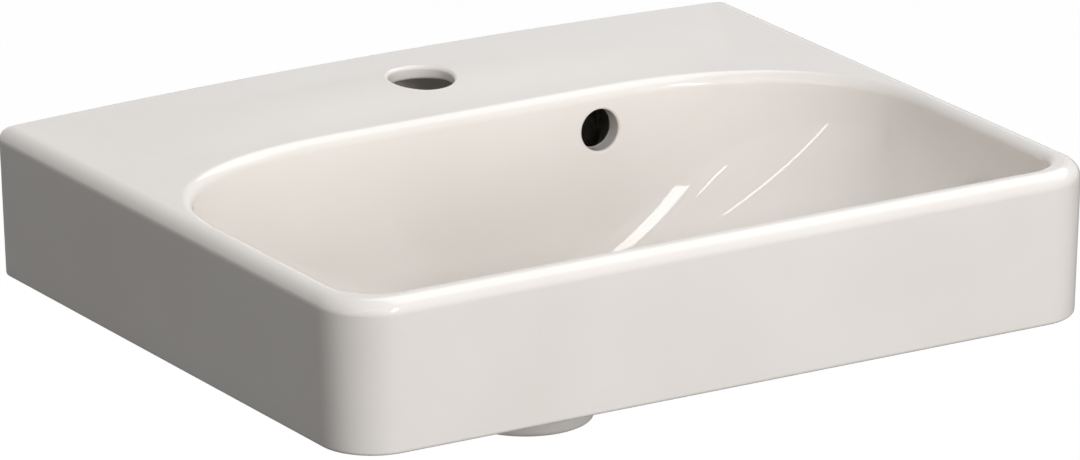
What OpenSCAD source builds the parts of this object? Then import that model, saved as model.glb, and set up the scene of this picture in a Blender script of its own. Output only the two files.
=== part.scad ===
// Wall-hung hand basin with a push-open waste.
// Back face on the plane y = 0, front towards -Y, +Z up.
// The origin lies midway between the two wall fixings, on the back face.

/* [Basin] */
// Width across the basin
basin_w = 450; // [430:5:480]
// Depth from the wall to the front
basin_d = 360; // [350:5:380]
// Height of the apron, from the deck to its foot
apron_h = 81; // [76:1:90]
// Height over all, from the deck to the foot of the drain boss
total_h = 153; // [150:1:160]
// Plan radius of the two front corners
front_corner_r = 32; // [24:1:40]
// Plan radius of the two corners at the wall
rear_corner_r = 4; // [3:1:6]
// Rounding of the top edge at the front and sides
top_edge_r = 8.5; // [6:0.5:9]
// Rounding of the top edge at the wall
wall_edge_r = 3; // [2:0.5:4]
// Rounding of the apron's foot
foot_r = 2; // [1:0.5:3]
// How far each side leans in from deck to foot
side_draft = 2.6; // [1:0.2:4]
// How far the front leans in from deck to foot
front_draft = 1.9; // [1:0.1:3]
// How much higher the deck stands at the middle of the wall, so that splashes run back
deck_rise = 4; // [2:0.5:5]
// How much the deck swells between the wall and the bowl, round the tap hole
deck_crown = 3.5; // [1:0.5:4]
// Thickness of the apron and the back
apron_t = 11; // [9:0.5:13]
// Thickness of the deck
deck_t = 7; // [6:0.5:9]

/* [Bowl] */
// Depth of the bowl at the drain, below the deck
bowl_depth = 108; // [104:1:110]
// Thickness of the bowl's shell
bowl_t = 9; // [8:0.5:10]
// Rim between the bowl and the front
front_rim = 13.5; // [13:0.5:16]
// Rim between the bowl and each side
side_rim = 14; // [14:0.5:18]
// Deck between the bowl and the wall
rear_deck = 108; // [104:1:112]
// Plan radius of the bowl's front corners
bowl_corner_r = 25; // [20:1:30]
// Rounding from the rim into the bowl at the front
front_lip_r = 3; // [2:0.5:4]
// Rounding from the rim into the bowl at the sides
side_lip_r = 5; // [4:0.5:5]
// Rounding from the deck into the bowl at the rear
rear_lip_r = 10; // [8:0.5:11]
// Half the straight length of the bowl's rear edge
rear_straight = 74.5; // [60:0.5:80]
// How far forward of the rear edge the bowl's rear corners reach
rear_corner_l = 107; // [90:1:115]
// Fullness of the rear corners: 2 is an ellipse, more is squarer
corner_fullness = 2.41; // [2.2:0.01:2.8]
// Widest run of the curve between the wall and the floor of the bowl
sweep_w = 115; // [95:1:125]
// Fullness of that curve: 2 is an ellipse, more is a steeper wall
sweep_fullness = 2; // [1.9:0.1:2.6]
// Fall of the floor towards the drain, mm for each mm
floor_fall = 0.05; // [0.03:0.01:0.07]

/* [Drain] */
// Distance of the drain's centre from the wall
drain_y = 158; // [156:1:160]
// Radius of the boss under the drain
boss_r = 36; // [35:0.5:38]
// Rounding of the boss's foot
boss_foot_r = 3; // [1:0.5:4]
// Radius of the drain hole through the ceramic
drain_hole_r = 23; // [22.5:0.25:23.5]
// Depth of the seat that takes the flange and its gasket
seat_depth = 3.5; // [3:0.25:4]
// Depth of the recess in the boss's foot that takes the ring nut
nut_recess_depth = 20; // [18:0.5:21]
// Radius of that recess
nut_recess_r = 29; // [28.5:0.25:30]
// Outer radius of the overflow gallery round the drain hole
gallery_r = 31; // [29:0.5:31]
// Height of the overflow gallery
gallery_h = 7; // [6:0.5:7]

/* [Overflow] */
// How far the overflow lies to the right of the middle
overflow_x = 76.8; // [60:0.2:80]
// Depth of the overflow's centre below the deck
overflow_drop = 22.4; // [20:0.2:26]
// Radius of the overflow hole
overflow_r = 11.25; // [10:0.25:12]
// Radius of the duct from the overflow to the gallery
duct_r = 10; // [8:0.5:10]
// Thickness of the duct's wall
duct_t = 5; // [4.5:0.5:6]

/* [Tap hole] */
// Radius of the tap hole
tap_hole_r = 17.5; // [16:0.25:18]
// Distance of the tap hole's centre from the wall
tap_y = 53; // [50:1:58]

/* [Wall fixings] */
// Distance between the two fixings
fixing_pitch = 280; // [180:10:300]
// Depth of the fixings below the deck
fixing_drop = 50; // [45:1:55]
// Radius of the stud that each fixing takes
stud_r = 5; // [4:0.5:6]
// Clearance of the sleeve and the nut round the stud
stud_gap = 0.1; // [0.05:0.05:0.3]
// Radius of the hole through the ceramic
fixing_hole_r = 11; // [10:0.5:12]
// Radius of the thickened pad round that hole
fixing_pad_r = 20; // [19:0.5:22]
// How far the pad stands in from the back
fixing_pad_h = 5; // [3:0.5:6]
// Radius of the sleeve's collar
collar_r = 17; // [16:0.5:18]
// Thickness of the sleeve's collar
collar_t = 4; // [3:0.5:5]
// Radius of the washer
washer_r = 14; // [12:0.5:15]
// Thickness of the washer
washer_t = 2.5; // [2:0.5:3]
// Width of the hexagon nut across its flats
nut_af = 17; // [16:0.5:18]
// Height of the hexagon nut
nut_h = 8; // [6:0.5:10]

/* [Waste] */
// Outer radius of the waste's threaded tail
tail_r = 20.95; // [20.5:0.05:21.5]
// Wall of the tail
tail_t = 2.4; // [2:0.1:3]
// How far the tail reaches below the boss
tail_below = 3; // [1:0.5:4]
// Radius of the flange in the bowl
flange_r = 31.5; // [30:0.5:32]
// Thickness of the flange
flange_t = 2.4; // [2:0.1:3]
// Thickness of the gasket under the flange
gasket_t = 1.5; // [1:0.25:2]
// Clearance round the flange in its seat
seat_gap = 0.7; // [0.3:0.1:1]
// Number of overflow windows in the tail
windows = 4; // [3:1:5]
// Width of one overflow window
window_w = 14; // [10:1:16]
// Thickness of the lower seal
lower_seal_t = 4; // [3:0.5:5]
// Radius of the lower seal and of the slip washer
lower_seal_r = 27; // [26:0.5:27.5]
// Thickness of the slip washer
slip_t = 1.5; // [1:0.5:2]
// Radius of the ring nut
ring_nut_r = 26; // [25:0.5:27]
// Height of the ring nut
ring_nut_h = 7; // [6:0.5:8]
// Number of spanner slots in the ring nut
ring_nut_slots = 6; // [4:1:8]
// Fit between a seal or nut and the tail
tail_gap = 0.05; // [0.02:0.01:0.1]
// Depth to the middle of the tail's thread, where the ring nut meets it
thread_in = 0.75; // [0.5:0.05:0.8]
// Height of the cross that carries the cartridge
cross_h = 8; // [6:0.5:9]
// Width of one arm of the cross
cross_arm_w = 3; // [2:0.5:4]
// Number of arms
cross_arms = 3; // [3:1:4]

/* [Plug and cartridge] */
// Travel of the plug between closed and open
plug_travel = 8; // [6:0.5:8]
// Radius of the plug's cap
plug_r = 19.6; // [19:0.1:19.8]
// Thickness of the plug's cap at its edge
plug_t = 3.4; // [3:0.1:4]
// Crown of the plug's cap
plug_crown = 1.2; // [0.5:0.1:1.5]
// Gap round the plug's cap in the flange
plug_gap = 0.8; // [0.5:0.1:1]
// Radius of the carrier under the cap
carrier_r = 16.5; // [15:0.5:17]
// Radius of the cap's spigot in the carrier
spigot_r = 8; // [7:0.5:9]
// Thickness of the carrier
carrier_t = 3; // [2:0.5:3]
// Thickness of the plug's seal
plug_seal_t = 1.6; // [1:0.1:2]
// Clearance of the seal over its seat when the plug is down
seal_gap = 0.25; // [0.15:0.05:0.4]
// Radius of the thread between the plug and the plunger
plug_thread_r = 3; // [2.5:0.5:3.5]
// Width of the plug's lock nut across its flats
lock_nut_af = 10; // [9:0.5:11]
// Height of the plug's lock nut
lock_nut_h = 2.5; // [2:0.5:3]
// Outer radius of the cartridge
cartridge_r = 8.5; // [8:0.25:9]
// Wall of the cartridge
cartridge_t = 1.6; // [1.2:0.1:1.8]
// Height of the bush that closes the cartridge
bush_h = 3; // [2.5:0.5:3]
// Thickness of the seal round the plunger's stem
stem_seal_t = 1.2; // [1:0.1:1.4]
// Radius of the plunger's stem
stem_r = 4; // [3.75:0.05:4.25]
// Height of the plunger's head
head_h = 3; // [2:0.5:3]
// Height of the index ring
index_h = 3.5; // [3:0.5:4]
// Number of cam teeth on the index ring
index_teeth = 6; // [4:1:8]
// Radius of the cartridge's threaded foot
foot_thread_r = 5; // [4:0.5:6]
// Thickness of the cartridge's floor
cartridge_floor = 2; // [1.5:0.5:2.5]
// Thickness of the washer under the cartridge
cartridge_washer_t = 1; // [0.5:0.25:1]
// Running clearance of the plunger and the index ring
run_gap = 0.06; // [0.04:0.01:0.1]
// Thickness of the return spring's wire
spring_wire = 0.8; // [0.6:0.1:0.9]
// Turns of the return spring
spring_turns = 6; // [5:1:7]
// Gap between the spring's turns when the plug is down
spring_gap = 0.28; // [0.2:0.02:0.4]

/* [Hidden] */
$fn = 96;

china = [0.89, 0.87, 0.85];
chrome = [0.78, 0.79, 0.81];
brass = [0.80, 0.66, 0.36];
steel = [0.66, 0.67, 0.69];
rubber = [0.12, 0.12, 0.13];
nylon = [0.93, 0.93, 0.90];

// A cut runs past the face it opens by this much.
over = 1;

// Levels of the basin
z_top = fixing_drop;
z_foot = z_top - apron_h;
z_floor = z_top - bowl_depth;
z_boss = z_top - total_h;
z_seat = z_floor - seat_depth;
z_nut_seat = z_boss + nut_recess_depth;
gallery_low = 1;
gallery_mid = (z_seat + z_nut_seat) / 2 - gallery_low;
inner_foot_in = side_draft + apron_t;
drain = [0, -drain_y];

// Segments of one half of an outline, from the middle of the rear to the middle of the front.
seg_rear = 5;
seg_wall = 5;
seg_wall_corner = 3;
seg_side_rear = 6;
seg_bowl_corner = seg_wall + seg_wall_corner + seg_side_rear;
seg_side = 4;
seg_front_corner = 6;
seg_front = 7;

// Rings of the roundings, the bowl and its underside
top_edge_rings = 5;
deck_rings = 6;
lip_rings = 4;
bowl_rings = 13;
under_rings = 9;

function lerp(a, b, t) = a + (b - a) * t;
// n values from a towards b, with b left out.
function steps(a, b, n) = [for (k = [0 : n - 1]) lerp(a, b, k / n)];
function flat(v) = [v.x, v.y];
function unit(v) = v / norm(v);
// The whole outline from its right half.
function both_halves(half) = concat(half, [for (k = [len(half) - 2 : -1 : 1]) [-half[k].x, half[k].y]]);
function both_values(half) = concat(half, [for (k = [len(half) - 2 : -1 : 1]) half[k]]);

// The bowl's edge where its wall begins, seen from above.
lip_x = basin_w / 2 - side_rim;
lip_front = front_rim - basin_d;
corner_y = -rear_deck - rear_corner_l;
function bowl_corner(t) = [
  lerp(rear_straight, lip_x, pow(sin(90 * t), 2 / corner_fullness)),
  lerp(corner_y, -rear_deck, pow(cos(90 * t), 2 / corner_fullness))
];
lip = both_halves(concat(
  [for (x = steps(0, rear_straight, seg_rear)) [x, -rear_deck]],
  [for (t = steps(0, 1, seg_bowl_corner)) bowl_corner(t)],
  [for (y = steps(corner_y, lip_front + bowl_corner_r, seg_side)) [lip_x, y]],
  [for (a = steps(0, 90, seg_front_corner))
    [lip_x, lip_front] + bowl_corner_r * [cos(a) - 1, 1 - sin(a)]],
  [for (x = steps(lip_x - bowl_corner_r, 0, seg_front)) [x, lip_front]],
  [[0, lip_front]]
));
count = len(lip);
lip_out = [for (i = [0 : count - 1])
  let (run = lip[(i + 1) % count] - lip[(i + count - 1) % count]) unit([-run.y, run.x])];
lip_r = both_values(concat(
  [for (k = steps(0, 1, seg_rear)) rear_lip_r],
  [for (t = steps(0, 1, seg_bowl_corner)) lerp(rear_lip_r, side_lip_r, pow(t, 2))],
  [for (k = steps(0, 1, seg_side)) side_lip_r],
  [for (t = steps(0, 1, seg_front_corner)) lerp(side_lip_r, front_lip_r, t)],
  [for (k = steps(0, 1, seg_front)) front_lip_r],
  [front_lip_r]
));

// The side's points change their spacing this far behind the bowl's rear corner.
side_change = 20;
least_corner_r = 6;
// The basin's outline drawn in by side_in, front_in and wall_in, with as many points as the bowl's edge.
function outline(side_in, front_in, wall_in) =
  let (
    x = basin_w / 2 - side_in,
    y = front_in - basin_d,
    r = max(front_corner_r - side_in, least_corner_r),
    turn = corner_y + side_change
  )
  both_halves(concat(
    [for (k = steps(0, rear_straight, seg_rear)) [k, -wall_in]],
    [for (k = steps(rear_straight, x - rear_corner_r, seg_wall)) [k, -wall_in]],
    [for (a = steps(90, 0, seg_wall_corner))
      [x, -wall_in] + rear_corner_r * [cos(a) - 1, sin(a) - 1]],
    [for (k = steps(-wall_in - rear_corner_r, turn, seg_side_rear)) [x, k]],
    [for (k = steps(turn, y + r, seg_side)) [x, k]],
    [for (a = steps(0, 90, seg_front_corner)) [x, y] + r * [cos(a) - 1, 1 - sin(a)]],
    [for (k = steps(x - r, 0, seg_front)) [k, y]],
    [[0, y]]
  ));
edge_r = both_values(concat(
  [for (k = steps(0, 1, seg_rear + seg_wall)) wall_edge_r],
  [for (t = steps(0, 1, seg_wall_corner)) lerp(wall_edge_r, top_edge_r, t)],
  [for (k = steps(0, 1, seg_side_rear + seg_side + seg_front_corner + seg_front)) top_edge_r],
  [top_edge_r]
));
// The deck stands higher towards the middle of the wall.
rise = both_values(concat(
  [for (x = steps(0, rear_straight, seg_rear)) x],
  [for (x = steps(rear_straight, basin_w / 2 - rear_corner_r, seg_wall)) x],
  [for (k = steps(0, 1, count / 2 - seg_rear - seg_wall)) basin_w / 2 - rear_corner_r],
  [basin_w / 2 - rear_corner_r]
));
function middle_share(i) = 1 - pow(rise[i] / (basin_w / 2 - rear_corner_r), 2);
function rise_at(i) = deck_rise * middle_share(i);

function at(points, z) = [for (p = points) [p.x, p.y, z]];
// The rounded top edge at angle a, from 0 on the wall to 90 on the deck.
function edge_ring(a) =
  let (
    side = top_edge_r * (1 - cos(a)),
    wall = wall_edge_r * (1 - cos(a)),
    plan = outline(side, side, wall)
  )
  [for (i = [0 : count - 1]) [plan[i].x, plan[i].y, z_top + rise_at(i) - edge_r[i] * (1 - sin(a))]];
// The apron's rounded foot at angle a, from 0 underneath to 90 on the wall.
function foot_ring(a) =
  let (back = foot_r * (1 - sin(a)))
  at(outline(side_draft + back, front_draft + back, back), z_foot + foot_r * (1 - cos(a)));
// The rounding from the deck into the bowl at angle a, from 0 on the deck to 90 on the bowl's wall.
function lip_ring(a) = [for (i = [0 : count - 1])
  let (p = lip[i] + lip_out[i] * lip_r[i] * (1 - sin(a)))
  [p.x, p.y, z_top - lip_r[i] * (1 - cos(a))]];

// The deck, from the edge at t = 0 to the lip at t = 1. It swells in the middle and meets the lip level.
edge_end = edge_ring(90);
lip_start = lip_ring(0);
function deck_fall(t) = pow(1 - t, 2) * (1 + 2 * t);
function deck_swell(t) = 16 * pow(t * (1 - t), 2);
function deck_height(i, t) = middle_share(i) * (deck_rise * deck_fall(t) + deck_crown * deck_swell(t));
function deck_ring(t) = [for (i = [0 : count - 1]) [
  lerp(edge_end[i].x, lip_start[i].x, t),
  lerp(edge_end[i].y, lip_start[i].y, t),
  z_top + deck_height(i, t)
]];

// The curve takes at most this share of a line, and this share of its points.
sweep_share = 0.9;
bend = 0.8;
// The wall and floor of the bowl along one line to the drain: u runs from 0 at the lip to 1 at the drain.
// It gives how far in and how far down a point lies, for a line that is run long and drop high.
function sweep(u, run, drop, extra) =
  let (
    w = min(sweep_w + extra, sweep_share * run),
    fall = floor_fall * (run - w),
    a = 90 * min(u / bend, 1),
    k = max(u - bend, 0) / (1 - bend)
  )
  [
    w * (1 - pow(cos(a), 2 / sweep_fullness)) + (run - w) * k,
    (drop - fall) * pow(sin(a), 2 / sweep_fullness) + fall * k
  ];
// The bowl's floor ends in a level ring round the seat.
seat_r = flange_r + seat_gap;
seat_margin = 1.5;
seat_ring_r = seat_r + seat_margin;
function bowl_point(i, u) =
  let (
    way = lip[i] - drain,
    s = sweep(u, norm(way) - seat_ring_r, bowl_depth - lip_r[i], 0),
    p = drain + unit(way) * (norm(way) - s[0])
  )
  [p.x, p.y, z_top - lip_r[i] - s[1]];
// The underside ends this far inside the boss.
boss_overlap = 2;
function under_point(i, u) =
  let (
    way = lip[i] + bowl_t * lip_out[i] - drain,
    s = sweep(u, norm(way) - boss_r + boss_overlap, bowl_depth - lip_r[i] + bowl_t, bowl_t),
    p = drain + unit(way) * (norm(way) - s[0])
  )
  [p.x, p.y, z_top - lip_r[i] - s[1]];
// How far a point lies inside the apron's inner face.
function inside_apron(p) =
  let (
    r = front_corner_r - inner_foot_in,
    mid = [0, -basin_d / 2],
    half = [basin_w / 2 - inner_foot_in - r, basin_d / 2 - inner_foot_in - r],
    q = [abs(p.x - mid.x) - half.x, abs(p.y - mid.y) - half.y]
  )
  r - norm([max(q.x, 0), max(q.y, 0)]) - min(max(q.x, q.y), 0);
// The highest place on the underside of the bowl that is open below the deck and clear of the apron.
crest_gap = 2;
halvings = 14;
function is_open(p) = p.z <= z_top - deck_t && inside_apron(p) >= crest_gap;
function crest(i, low, high, n) =
  n <= 0 ? high
  : is_open(under_point(i, (low + high) / 2)) ? crest(i, low, (low + high) / 2, n - 1)
  : crest(i, (low + high) / 2, high, n - 1);
crest_u = [for (i = [0 : count - 1]) crest(i, 0, 1, halvings)];
crest_points = [for (i = [0 : count - 1]) under_point(i, crest_u[i])];
inner_plan = outline(inner_foot_in, inner_foot_in, inner_foot_in);
// Where the bowl's back is open right up to the deck, the ceiling is the deck's underside.
least_u = 0.001;
function ceiling_level(i) = crest_u[i] < least_u ? z_top - deck_t : crest_points[i].z;
function ceiling_rise(i, t) = crest_u[i] < least_u ? deck_height(i, t) : 0;
// The deck's underside swells as its top does, from the apron at t = 0 to the bowl's back at t = 1.
bend_power = 3;
function ceiling_ring(t) = [for (i = [0 : count - 1]) [
  lerp(inner_plan[i].x, crest_points[i].x, t),
  lerp(inner_plan[i].y, crest_points[i].y, t),
  lerp(ceiling_level(i), crest_points[i].z, pow(t, bend_power)) + ceiling_rise(i, t)
]];
// The skin's own hole at the drain is smaller than the one that is cut there.
skin_hole_r = drain_hole_r - 3;
function drain_ring(z) = [for (p = lip) let (q = drain + skin_hole_r * unit(p - drain)) [q.x, q.y, z]];

// The whole skin: up the apron, over the deck, down the bowl, and back along the underside.
skin = concat(
  [for (a = [0, 45, 90]) foot_ring(a)],
  [for (k = [0 : top_edge_rings]) edge_ring(90 * k / top_edge_rings)],
  [for (k = [1 : deck_rings - 1]) deck_ring(k / deck_rings)],
  [for (k = [0 : lip_rings]) lip_ring(90 * k / lip_rings)],
  [for (k = [1 : bowl_rings]) [for (i = [0 : count - 1]) bowl_point(i, k / bowl_rings)]],
  [drain_ring(z_floor)],
  [drain_ring(z_floor - bowl_t)],
  [for (k = [0 : under_rings])
    [for (i = [0 : count - 1]) under_point(i, lerp(1, crest_u[i], k / under_rings))]],
  [for (k = [deck_rings - 1 : -1 : 0]) ceiling_ring(k / deck_rings)],
  [at(inner_plan, z_foot)]
);
rings = len(skin);

module basin_skin() {
  polyhedron(
    points = [for (ring = skin) for (p = ring) p],
    faces = [for (j = [0 : rings - 1]) for (i = [0 : count - 1])
      let (
        a = j * count + i,
        b = j * count + (i + 1) % count,
        c = ((j + 1) % rings) * count + (i + 1) % count,
        d = ((j + 1) % rings) * count + i
      )
      each [[a, b, c], [a, c, d]]]
  );
}

// A solid turned about the drain's axis from points of radius and height.
module turned(points) {
  translate([drain.x, drain.y, 0])
    rotate_extrude()
      polygon(points);
}

module ring(r_in, r_out, z_low, z_high) {
  turned([[r_in, z_low], [r_out, z_low], [r_out, z_high], [r_in, z_high]]);
}

module disc(r, z_low, z_high) {
  translate([drain.x, drain.y, z_low])
    cylinder(r = r, h = z_high - z_low);
}

// A round bar between two points.
module bar(from, to, r) {
  way = to - from;
  translate(from)
    rotate([0, acos(way.z / norm(way)), atan2(way.y, way.x)])
      cylinder(r = r, h = norm(way));
}

// A cylinder that runs from the back face into the basin.
module from_back(x, z, r, y_low, y_high) {
  translate([x, -y_low, z])
    rotate([90, 0, 0])
      cylinder(r = r, h = y_high - y_low);
}

// The overflow's duct: behind the bowl, down, and into the gallery round the drain.
overflow_z = z_top - overflow_drop;
duct_back = rear_deck - bowl_t - duct_r;
// The duct starts to turn this far above the gallery, and steps in this far by the time it is level.
duct_turn_h = 30;
duct_step = [-12, -10];
// It ends inside the gallery, this far from the drain's axis.
duct_end = [20, 16];
duct_points = [
  [overflow_x, -duct_back, overflow_z],
  [overflow_x, -duct_back, gallery_mid + duct_turn_h],
  [overflow_x + duct_step.x, -duct_back + duct_step.y, gallery_mid],
  [drain.x + duct_end.x, drain.y + duct_end.y, gallery_mid]
];
// The overflow's cut runs from the duct into the bowl.
overflow_reach = 20;
// The duct swells a little where it turns.
elbow = 1.05;

module duct(r) {
  for (k = [0 : len(duct_points) - 2])
    bar(duct_points[k], duct_points[k + 1], r);
  for (k = [0 : len(duct_points) - 2])
    translate(duct_points[k])
      sphere(r = elbow * r);
}

module boss() {
  turned([
    [0, z_boss], [boss_r - boss_foot_r, z_boss],
    for (a = [0 : 15 : 90]) [boss_r, z_boss] + boss_foot_r * [sin(a) - 1, 1 - cos(a)],
    [boss_r, z_floor - bowl_t / 2], [0, z_floor - bowl_t / 2]
  ]);
}

module at_fixings() {
  for (side = [-1, 1])
    translate([side * fixing_pitch / 2, 0, 0])
      children();
}

// The tap hole's cut starts below the deck's thickest place.
deck_low = max(deck_t, rear_lip_r) + over;

module ceramic_basin() {
  color(china)
    difference() {
      union() {
        basin_skin();
        boss();
        duct(duct_r + duct_t);
        at_fixings()
          from_back(0, 0, fixing_pad_r, over, inner_foot_in + fixing_pad_h);
      }
      disc(drain_hole_r, z_boss - over, z_floor + over);
      disc(seat_r, z_seat, z_floor + over);
      disc(nut_recess_r, z_boss - over, z_nut_seat);
      disc(gallery_r, gallery_mid - gallery_h / 2, gallery_mid + gallery_h / 2);
      duct(duct_r);
      from_back(overflow_x, overflow_z, overflow_r, duct_back, rear_deck + overflow_reach);
      translate([0, -tap_y, z_top - deck_low])
        cylinder(r = tap_hole_r, h = deck_low + deck_rise + deck_crown + over);
      at_fixings()
        from_back(0, 0, fixing_hole_r, -over, inner_foot_in + fixing_pad_h + over);
    }
}

// Wall fixings, from the back into the basin
y_pad = inner_foot_in + fixing_pad_h;
y_collar = y_pad + collar_t;
y_washer = y_collar + washer_t;

module fixing_sleeves() {
  color(nylon)
    at_fixings()
      difference() {
        union() {
          from_back(0, 0, fixing_hole_r - 2 * stud_gap, 0, y_pad + over);
          from_back(0, 0, collar_r, y_pad, y_collar);
        }
        from_back(0, 0, stud_r + stud_gap, -over, y_collar + over);
      }
}

module fixing_washers() {
  color(steel)
    at_fixings()
      difference() {
        from_back(0, 0, washer_r, y_collar, y_washer);
        from_back(0, 0, stud_r + 2 * stud_gap, y_collar - over, y_washer + over);
      }
}

module hexagon(across_flats, h) {
  cylinder(r = across_flats / sqrt(3), h = h, $fn = 6);
}

module fixing_nuts() {
  color(steel)
    at_fixings()
      difference() {
        translate([0, -y_washer, 0])
          rotate([90, 0, 0])
            hexagon(nut_af, nut_h);
        from_back(0, 0, stud_r + stud_gap, y_washer - over, y_washer + nut_h + over);
      }
}

// Waste, from the bowl down
z_flange = z_seat + gasket_t;
z_flange_top = z_flange + flange_t;
tail_bore_r = tail_r - tail_t;
neck_gap = 0.5;
neck_r = drain_hole_r - neck_gap;
neck_h = 6;
mouth_r = plug_r + plug_gap;
mouth_spare = 0.2;
z_mouth = z_flange_top - plug_t - mouth_spare;
cone_h = 3.3;
flange_edge = 0.8;

// Lower seal, slip washer and ring nut, from the seat in the boss down
z_slip = z_nut_seat - lower_seal_t;
z_ring_nut = z_slip - slip_t;
z_nut_low = z_ring_nut - ring_nut_h;
// Where the ring nut sits, both threads are drawn at the middle of their depth.
thread_mid_r = tail_r - thread_in;

// Plug, drawn open. Its levels are first worked out with the plug down.
z_cap_low = z_flange_top - plug_t + plug_travel;
z_seal_low = z_cap_low - plug_seal_t;
z_carrier = z_seal_low - carrier_t;
z_lock_nut = z_carrier - lock_nut_h;
spigot_h = carrier_t / 2;
spigot_gap = 0.05;
// Radius of the step on the cap that centres the seal
step_r = spigot_r + 2;
// Radius of the seal, a little clear of its conical seat when the plug is down
seal_r = mouth_r - (mouth_r - tail_bore_r) * (z_mouth - (z_seal_low - plug_travel)) / cone_h - seal_gap;
dome_steps = 10;

// Cartridge, from the bush under the plug down to the cross that carries it
bush_rim_h = 1;
// Room between the lock nut and the bush when the plug is down
bush_room = 0.9;
z_bush_top = z_lock_nut - plug_travel - bush_room;
z_bush = z_bush_top - bush_h;
cartridge_bore_r = cartridge_r - cartridge_t;
z_head_top = z_bush - run_gap;
z_head = z_head_top - head_h;
tip_r = 3.5;
tip_below = 0.5;
z_index_top = z_head - run_gap;
z_index = z_index_top - index_h;
z_tip = z_index - tip_below;
tooth_h = 1;
end_gap = 0.05;
spring_h = spring_turns * (spring_wire + spring_gap) + spring_wire + plug_travel + 2 * end_gap;
z_spring_low = z_index - spring_h;
z_cartridge = z_spring_low - cartridge_floor;
z_cross_top = z_cartridge - cartridge_washer_t;
z_cross = z_cross_top - cross_h;
hub_t = 3.5;
hub_r = foot_thread_r + hub_t;

// The tail reaches below the boss, and far enough to carry the cross.
cross_up = 1;
z_tail = min(z_boss - tail_below, z_cross - cross_up);
window_margin = 1;
window_h = gallery_h - 2 * window_margin;

module waste_body() {
  color(chrome)
    difference() {
      union() {
        turned([
          [tail_bore_r, z_tail], [tail_r, z_tail],
          [tail_r, z_nut_low], [thread_mid_r, z_nut_low],
          [thread_mid_r, z_ring_nut], [tail_r, z_ring_nut],
          [tail_r, z_flange - neck_h], [neck_r, z_flange - neck_h + neck_r - tail_r],
          [neck_r, z_flange], [flange_r, z_flange],
          [flange_r, z_flange_top - flange_edge], [flange_r - flange_edge, z_flange_top],
          [mouth_r, z_flange_top], [mouth_r, z_mouth],
          [tail_bore_r, z_mouth - cone_h]
        ]);
        ring(foot_thread_r + tail_gap, hub_r, z_cross, z_cross_top);
        for (k = [0 : cross_arms - 1])
          translate([drain.x, drain.y, z_cross])
            rotate([0, 0, 360 * k / cross_arms])
              translate([hub_r - over / 2, -cross_arm_w / 2, 0])
                cube([tail_bore_r - hub_r + over, cross_arm_w, cross_h]);
      }
      for (k = [0 : windows - 1])
        translate([drain.x, drain.y, gallery_mid - window_h / 2])
          rotate([0, 0, 360 * (k + 0.5) / windows])
            translate([tail_bore_r / 2, -window_w / 2, 0])
              cube([tail_r, window_w, window_h]);
    }
}

gasket_in = 1;

module flange_gasket() {
  color(rubber)
    ring(neck_r + tail_gap, flange_r - gasket_in, z_seat, z_flange);
}

seal_cone_h = 3;
seal_cone_t = 0.6;
seal_cone_gap = 0.2;

module lower_seal() {
  color(rubber)
    turned([
      [tail_r + tail_gap, z_slip], [lower_seal_r, z_slip], [lower_seal_r, z_nut_seat],
      [drain_hole_r - seal_cone_gap, z_nut_seat], [tail_r + seal_cone_t, z_nut_seat + seal_cone_h],
      [tail_r + tail_gap, z_nut_seat + seal_cone_h]
    ]);
}

module slip_washer() {
  color(nylon)
    ring(tail_r + tail_gap, lower_seal_r, z_ring_nut, z_slip);
}

slot_w = 4;
slot_depth = 2;

module ring_nut() {
  color(brass)
    difference() {
      ring(thread_mid_r + tail_gap, ring_nut_r, z_nut_low, z_ring_nut);
      for (k = [0 : ring_nut_slots - 1])
        translate([drain.x, drain.y, z_nut_low - over])
          rotate([0, 0, 360 * k / ring_nut_slots])
            translate([ring_nut_r - slot_depth, -slot_w / 2, 0])
              cube([slot_depth + over, slot_w, ring_nut_h / 2 + over]);
    }
}

module plug_cap() {
  color(chrome)
    turned([
      [0, z_seal_low - spigot_h], [spigot_r, z_seal_low - spigot_h], [spigot_r, z_seal_low],
      [step_r, z_seal_low], [step_r, z_cap_low], [plug_r, z_cap_low],
      for (k = [dome_steps : -1 : 0])
        [plug_r * k / dome_steps, z_cap_low + plug_t + plug_crown * (1 - pow(k / dome_steps, 2))]
    ]);
}

module plug_seal() {
  color(rubber)
    ring(step_r + spigot_gap, seal_r, z_seal_low, z_cap_low);
}

module plug_carrier() {
  color(brass)
    difference() {
      disc(carrier_r, z_carrier, z_seal_low);
      disc(spigot_r + spigot_gap, z_seal_low - spigot_h, z_seal_low + over);
      disc(plug_thread_r + spigot_gap, z_carrier - over, z_seal_low);
    }
}

module plug_lock_nut() {
  color(brass)
    difference() {
      translate([drain.x, drain.y, z_lock_nut])
        hexagon(lock_nut_af, lock_nut_h);
      disc(plug_thread_r + spigot_gap, z_lock_nut - over, z_carrier + over);
    }
}

module cartridge_housing() {
  color(brass)
    difference() {
      union() {
        disc(cartridge_r, z_cartridge, z_bush_top - bush_rim_h);
        disc(foot_thread_r, z_cross, z_cartridge + over);
      }
      disc(cartridge_bore_r, z_spring_low, z_bush_top);
    }
}

module cartridge_washer() {
  color(rubber)
    ring(foot_thread_r + tail_gap, hub_r, z_cross_top, z_cartridge);
}

z_stem_seal = (z_bush + z_bush_top - stem_seal_t) / 2;
stem_seal_r = stem_r + run_gap + stem_seal_t;

module cartridge_bush() {
  color(nylon)
    difference() {
      turned([
        [stem_r + run_gap, z_bush], [cartridge_bore_r, z_bush],
        [cartridge_bore_r, z_bush_top - bush_rim_h], [cartridge_r, z_bush_top - bush_rim_h],
        [cartridge_r, z_bush_top], [stem_r + run_gap, z_bush_top]
      ]);
      disc(stem_seal_r, z_stem_seal, z_stem_seal + stem_seal_t);
    }
}

module stem_seal() {
  color(rubber)
    ring(stem_r + run_gap, stem_seal_r, z_stem_seal, z_stem_seal + stem_seal_t);
}

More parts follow.
